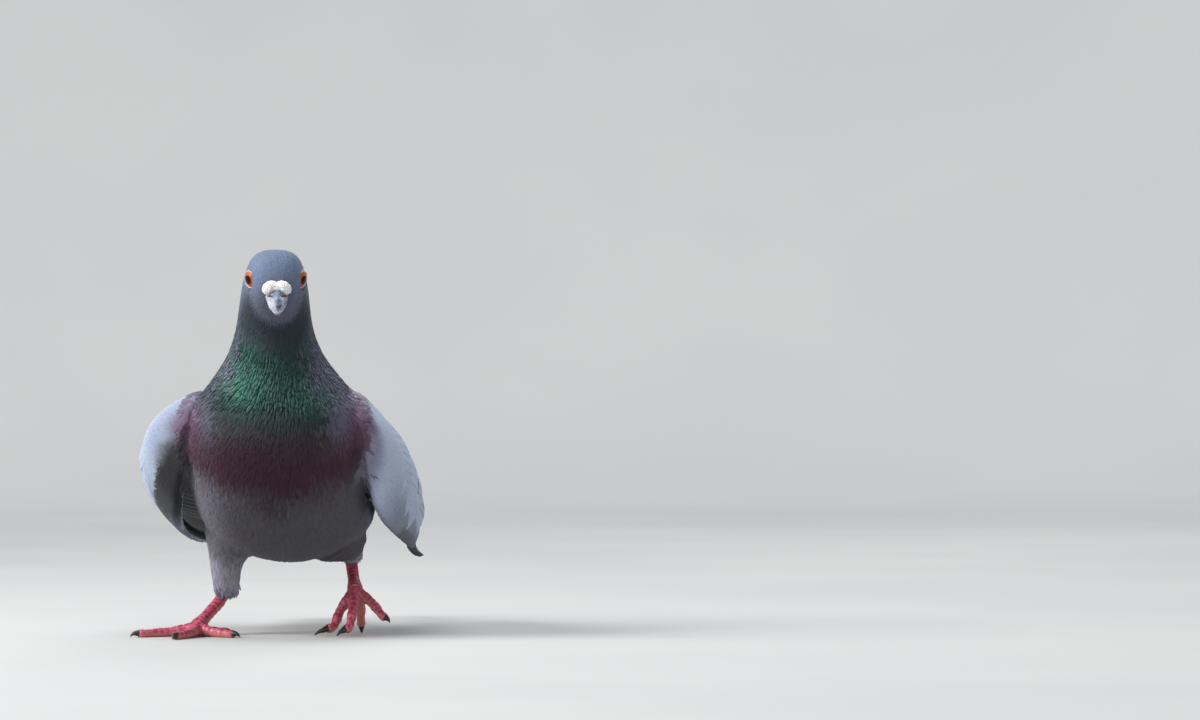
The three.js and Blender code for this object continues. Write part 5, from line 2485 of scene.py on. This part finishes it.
@dataclass
class Tail:
    """The closed tail fan."""

    markings: Markings
    root: Pair = (104, 94)
    tip: Pair = (206, 53)
    root_half: float = 6.0
    tip_half: float = 18.0
    count: int = 12
    width: float = 14.0
    step: float = 0.95
    bar: Pair = (0.87, 0.1)
    seed: int = 8
    vane: Vane = field(default_factory=lambda: Vane(rows=22, thick=0.4, round_share=0.08))
    finish: FeatherFinish = FeatherFinish("tail_feathers", 60.0, 20.0, 0.00012, 0.3, 0.3, 0.9, 0.1, 0.55)

    def build(self) -> Piece:
        """Makes the twelve feathers as one piece.

        Returns:
            The piece.
        """
        shell = Shell()
        line = np.array([0.0, self.tip[0] - self.root[0], self.tip[1] - self.root[1]])
        reach = np.linalg.norm(line)
        along = line / reach
        up = np.cross(np.array([1.0, 0.0, 0.0]), along)
        rng = np.random.default_rng(self.seed)
        for index in range(self.count):
            share = 2 * (index + 0.5) / self.count - 1
            layer = abs(share)

            def shape(t: Array, q: Array) -> tuple[Array, Array]:
                """Points and ways out of the blade.

                Args:
                    t: Shares of the length.
                    q: Shares of the half-width.

                Returns:
                    The points and the ways out.
                """
                x = share * mix(self.root_half, self.tip_half, t) + q * self.width / 2
                drop = -3.6 * layer * mix(1.0, 1.3, t) - 0.012 * x * x + 0.5 * q * np.sign(share)
                spot = np.array([0.0, *self.root]) + along * (t * (reach - 1.5 * layer))[..., None]
                spot = spot + up * (drop + 2.5)[..., None]
                spot[..., 0] = x
                out = np.broadcast_to(up, spot.shape)
                return FRAMES.from_trunk(spot), FRAMES.turned(out)

            points, faces, vane = self.vane.grid(shape)
            colour = np.array(self.markings.tail) * rng.uniform(0.94, 1.04)
            colour = np.tile(colour, (len(vane), 1))
            bar = 1 - np.abs(vane[:, 1] - self.bar[0]) / self.bar[1]
            patch = feather_patch(0.75, index, vane)
            gloss = np.full(len(points), 0.1)
            shell.add(points, faces, plumage=colour, gloss=gloss, bar=bar, Vane=vane, OFBake=patch)
        return dress(shell.make("tail_fan"), self.finish.material(), "tail_feathers", "tail")


# ---------------- bill, cere, eyes


@dataclass
class Bill:
    """Both halves of the bill and the white cere over its root."""

    voxel: float = 0.28
    smoothing: int = 6
    ridge: Row = (0.9, 182.9, 1.9, 3.6)
    arch: Pair = (190.9, 0.09)
    flatness: float = 0.66
    saddle: tuple[Triple, ...] = ((0.0, -73.1, 191.7), (3.0, 2.6, 2.9))
    wedge: float = 2.0
    slit: Triple = (3.7, 187.2, 0.55)
    slit_length: float = 1.7

    def soften(self, node: Piece, name: str) -> Piece:
        """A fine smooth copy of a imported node.

        Args:
            node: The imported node.
            name: Name of the copy.

        Returns:
            The copy.
        """
        made = copy_of(node, name)
        remesh(made, self.voxel, self.smoothing)
        return made

    def head_points(self, piece: Piece) -> Array:
        """Points of a piece in the head's own frame."""
        return BODY.head_frame(FRAMES.to_trunk(mesh_points(piece)))

    def place(self, piece: Piece, points: Array) -> None:
        """Moves a piece's points to places in the head's own frame."""
        move_points(piece, FRAMES.from_trunk(BODY.head_turned(points, 1.0)))

    def horn(self, node: Piece, name: str) -> Piece:
        """Half of the bill, with its ridge, slits and tones.

        Args:
            node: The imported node.
            name: Name of the piece.

        Returns:
            The piece.
        """
        piece = self.soften(node, name)
        points = self.head_points(piece)
        x, y, z = points.T
        side = np.abs(x)
        if name == "upper_bill":
            top = smooth(z, 185.5, 189.0) * smooth(y, -77.5, -74.0)
            points[:, 2] += self.wedge * top * fade(side, 1.2, 3.6)
            self.place(piece, points)
        x_mid, z_mid, x_half, z_half = self.ridge
        tone = 1.05 - 1.0 * smooth(np.hypot((x - x_mid) / x_half, (z - z_mid) / z_half), 0.3, 1.4)
        tone = np.maximum(tone, 0.45 * fade(side, 2.0, 3.6) * smooth(z, 184.5, 186.5))
        tone = np.maximum(tone, 0.3 * smooth(x, 0.2, 2.4)) + 0.22 * Markings.ripple(points, 1.9)
        middle, level, half = self.slit
        slit = 1 - smooth(np.hypot((side - middle) / self.slit_length, (z - level) / half), 0.75, 1.1)
        slit = slit * (y < -68.5) * (name == "upper_bill")
        paint_mesh(piece, "tone", tone)
        paint_mesh(piece, "slit", slit)
        return piece

    def cere(self, node: Piece) -> Piece:
        """The white swelling, drawn together a little and finely wrinkled.

        Args:
            node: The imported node.

        Returns:
            The piece.
        """
        made = copy_of(node, "white_cere")
        bpy.ops.mesh.primitive_uv_sphere_add(segments=24, ring_count=16, radius=MM)
        middle = bpy.context.active_object
        self.place(middle, mesh_points(middle) * np.array(self.saddle[1]) + np.array(self.saddle[0]))
        alone(made, middle)
        bpy.ops.object.join()
        piece = self.soften(made, "white_cere")
        bpy.data.objects.remove(made)
        piece.name = "white_cere"
        points = self.head_points(piece)
        x, y, z = points.T
        fold = Markings.ripple(points, 2.4) + 0.8 * Markings.ripple(points, 1.2, 2.0)
        level, slope = self.arch
        # Painted shadow: the lower inner parts of the lobes are greyer.
        tone = fade(z + slope * x * x, level - 1.0, level + 0.6) * fade(np.abs(x), 3.6, 5.0)
        paint_mesh(piece, "tone", tone)
        back = y.max()
        points[:, 0] = x * 0.96
        points[:, 1] = back + (y - back) * self.flatness
        self.place(piece, points)
        move_points(piece, mesh_points(piece) + mesh_normals(piece) * (0.17 * fold)[:, None])
        return piece

    def build(self, nodes: dict[str, Piece]) -> list[Piece]:
        """Makes the three pieces.

        Args:
            nodes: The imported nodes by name.

        Returns:
            The pieces.
        """
        horn = HornFinish().material()
        upper = dress(self.horn(nodes["bill_upper"], "upper_bill"), horn, "bill_horn", "bill_upper")
        lower = dress(self.horn(nodes["bill_lower"], "lower_bill"), horn, "bill_horn", "bill_lower")
        return [upper, lower, dress(self.cere(nodes["cere"]), CereFinish().material(), "cere_skin", "cere")]


@dataclass
class Eye:
    """An eye with its cornea's swell and the bare ring round it."""

    side: Side
    centre: Triple = (10.0, -51.0, 197.7)
    radius: float = 6.5
    forward: float = math.radians(34)
    up: float = -0.22
    lid_distance: float = 4.9
    lid_radius: float = 4.6
    lid_tube: float = 0.5

    def middle(self) -> Array:
        """The eye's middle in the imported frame."""
        x, y, z = self.centre
        return FRAMES.from_trunk(BODY.head_turned(np.array([self.side.value * x, y, z]), 1.0))

    def axis(self) -> Array:
        """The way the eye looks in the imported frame.

        Returns:
            The way, of length 1.
        """
        way = np.array([self.side.value * math.cos(self.forward), -math.sin(self.forward), self.up])
        base = BODY.head_turned(np.zeros(3), 1.0)
        return unit(FRAMES.turned(BODY.head_turned(way, 1.0) - base))

    def reach(self, points: Array) -> tuple[Array, Array]:
        """How far points are from the way the eye looks, and how far along it.

        Args:
            points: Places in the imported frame.

        Returns:
            The distance from the line, and the distance along it.
        """
        local = points - self.middle()
        along = local @ self.axis()
        return np.linalg.norm(local - along[:, None] * self.axis(), axis=1), along

    def build(self) -> list[Piece]:
        """Makes the eye and its ring.

        Returns:
            Both pieces.
        """
        word = self.side.word
        middle, axis = self.middle(), self.axis()
        bpy.ops.mesh.primitive_uv_sphere_add(segments=64, ring_count=40, radius=self.radius * MM)
        ball = bpy.context.object
        ball.name = f"eyeball_{word}"
        points = mesh_points(ball)
        facing = unit(points) @ axis
        swell = 1 + 0.035 * smooth(facing, 0.72, 0.93)
        move_points(ball, points * swell[:, None] + middle)
        ball.data.shade_smooth()
        centre = tuple(float(v) for v in middle * MM)
        finish = EyeFinish(f"eye_{word}_wet", centre, tuple(float(v) for v in axis))
        dress(ball, finish.material(), "eye", f"eye_{word}")
        bpy.ops.mesh.primitive_torus_add(
            major_radius=self.lid_radius * MM,
            minor_radius=self.lid_tube * MM,
            major_segments=72,
            minor_segments=16,
        )
        ring = bpy.context.object
        ring.name = f"eye_ring_{word}"
        turn = np.array(Vector(UP).rotation_difference(Vector(axis)).to_matrix())
        points = mesh_points(ring) @ turn.T
        angle = np.arctan2(points[:, 2], points @ np.cross(UP, axis))
        points = points * (1 + 0.02 * np.sin(angle * 9) + 0.012 * np.sin(angle * 23))[:, None]
        move_points(ring, points + middle + axis * self.lid_distance)
        ring.data.shade_smooth()
        dress(ring, LidFinish(f"ring_{word}").material(), "cere_skin")
        return [ball, ring]


# ---------------- stage


@dataclass(frozen=True)
class Lamp:
    """A soft round light: its place and width in metres, its power in watts and its colour."""

    name: str
    place: Triple
    size: float
    power: float
    colour: Colour


@dataclass
class Stage:
    """Floor, soft lights and the camera."""

    floor_radius: float = 5.0
    floor_grid: tuple[int, int] = (40, 96)
    lamps: tuple[Lamp, ...] = (
        Lamp("key", (-1.75, -0.7, 1.35), 1.3, 70.0, (1.0, 0.99, 0.97)),
        Lamp("top", (-0.2, -0.2, 2.1), 1.4, 22.0, (0.94, 0.97, 1.0)),
        Lamp("fill", (1.5, -1.3, 0.8), 1.6, 5.0, (0.93, 0.96, 1.0)),
        Lamp("rim", (0.7, 1.5, 1.4), 1.2, 14.0, (1.0, 1.0, 1.0)),
    )
    lit_height: float = 0.11
    sky: Colour = (0.86, 0.9, 0.95)
    sky_power: float = 0.4
    focal: float = 135.0
    eye_height: float = 134.0
    distance: float = 2500.0
    yaw: float = math.radians(4.09)
    pitch: float = math.radians(0.446)

    def floor(self) -> None:
        """A round floor that rises softly far away."""
        turn = turns(self.floor_grid[1])
        radius = np.linspace(0.0, 1.0, self.floor_grid[0]) ** 1.5 * self.floor_radius
        rise = 0.35 * smooth(radius, self.floor_radius * 0.62, self.floor_radius) * self.floor_radius
        x, y = radius[:, None] * np.cos(turn), radius[:, None] * np.sin(turn)
        points = np.stack([x, y, np.broadcast_to(rise[:, None], x.shape)], -1).reshape(-1, 3)
        floor = mesh_object("floor", points / MM, grid_faces(*self.floor_grid, around=True))
        edit(floor, remove_doubles={"threshold": MERGE}, normals_make_consistent=OUTWARDS)
        if floor.data.polygons[0].normal.z < 0:
            floor.data.flip_normals()
        floor.data.materials.append(FloorFinish().material())

    def light(self, lamp: Lamp) -> None:
        """Hangs a light so that it faces the bird.

        Args:
            lamp: Its sizes and colour.
        """
        data = bpy.data.lights.new(lamp.name, "AREA")
        data.shape = "DISK"
        data.size = lamp.size
        data.energy = lamp.power
        data.color = lamp.colour
        made = bpy.data.objects.new(lamp.name, data)
        made.location = lamp.place
        way = Vector((0, 0, self.lit_height)) - Vector(lamp.place)
        made.rotation_euler = way.to_track_quat("-Z", "Y").to_euler()
        bpy.context.scene.collection.objects.link(made)

    def camera(self) -> None:
        """The camera, a long lens at the bird's own height."""
        data = bpy.data.cameras.new("camera")
        data.lens = self.focal
        data.sensor_width = 36.0
        data.clip_start, data.clip_end = 0.1, 50.0
        camera = bpy.data.objects.new("camera", data)
        camera.location = FRAMES.from_floor(np.array([0.0, -self.distance, self.eye_height])) * MM
        camera.rotation_euler = (math.pi / 2 + self.pitch, 0.0, -self.yaw)
        bpy.context.scene.collection.objects.link(camera)
        bpy.context.scene.camera = camera

    def build(self) -> None:
        """Makes everything round the bird."""
        self.floor()
        for lamp in self.lamps:
            self.light(lamp)
        world = bpy.data.worlds.new("studio")
        world.use_nodes = True
        shader = world.node_tree.nodes["Background"]
        shader.inputs["Color"].default_value = (*self.sky, 1.0)
        shader.inputs["Strength"].default_value = self.sky_power
        bpy.context.scene.world = world
        bpy.context.scene.view_settings.view_transform = "Standard"
        self.camera()


def main() -> None:
    """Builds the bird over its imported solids, piece by piece."""
    logging.basicConfig(level=logging.INFO, format="%(message)s")
    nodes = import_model()["nodes"]
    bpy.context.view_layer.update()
    eyes = [BODY.head_turned(np.array(PACKED_EYE) * (s, 1, 1), 1.0) for s in (-1, 1)]
    FRAMES.settle((eyes[0] + eyes[1]) / 2)
    markings = Markings()
    lie = Lie().gather()
    skin = Skin(markings, lie)
    skin.build(nodes)
    bare = Bill().build(nodes)
    for side in Side:
        bare += Eye(side).build()
        LEGS[side].build()
        Wing(WINGS[side], markings).build()
    Tail(markings).build()
    keep_off = [(tree_of(piece), 0.3) for piece in bare]
    Coat(skin, lie).build(keep_off)
    Stage().build()


if __name__ == "__main__":
    main()
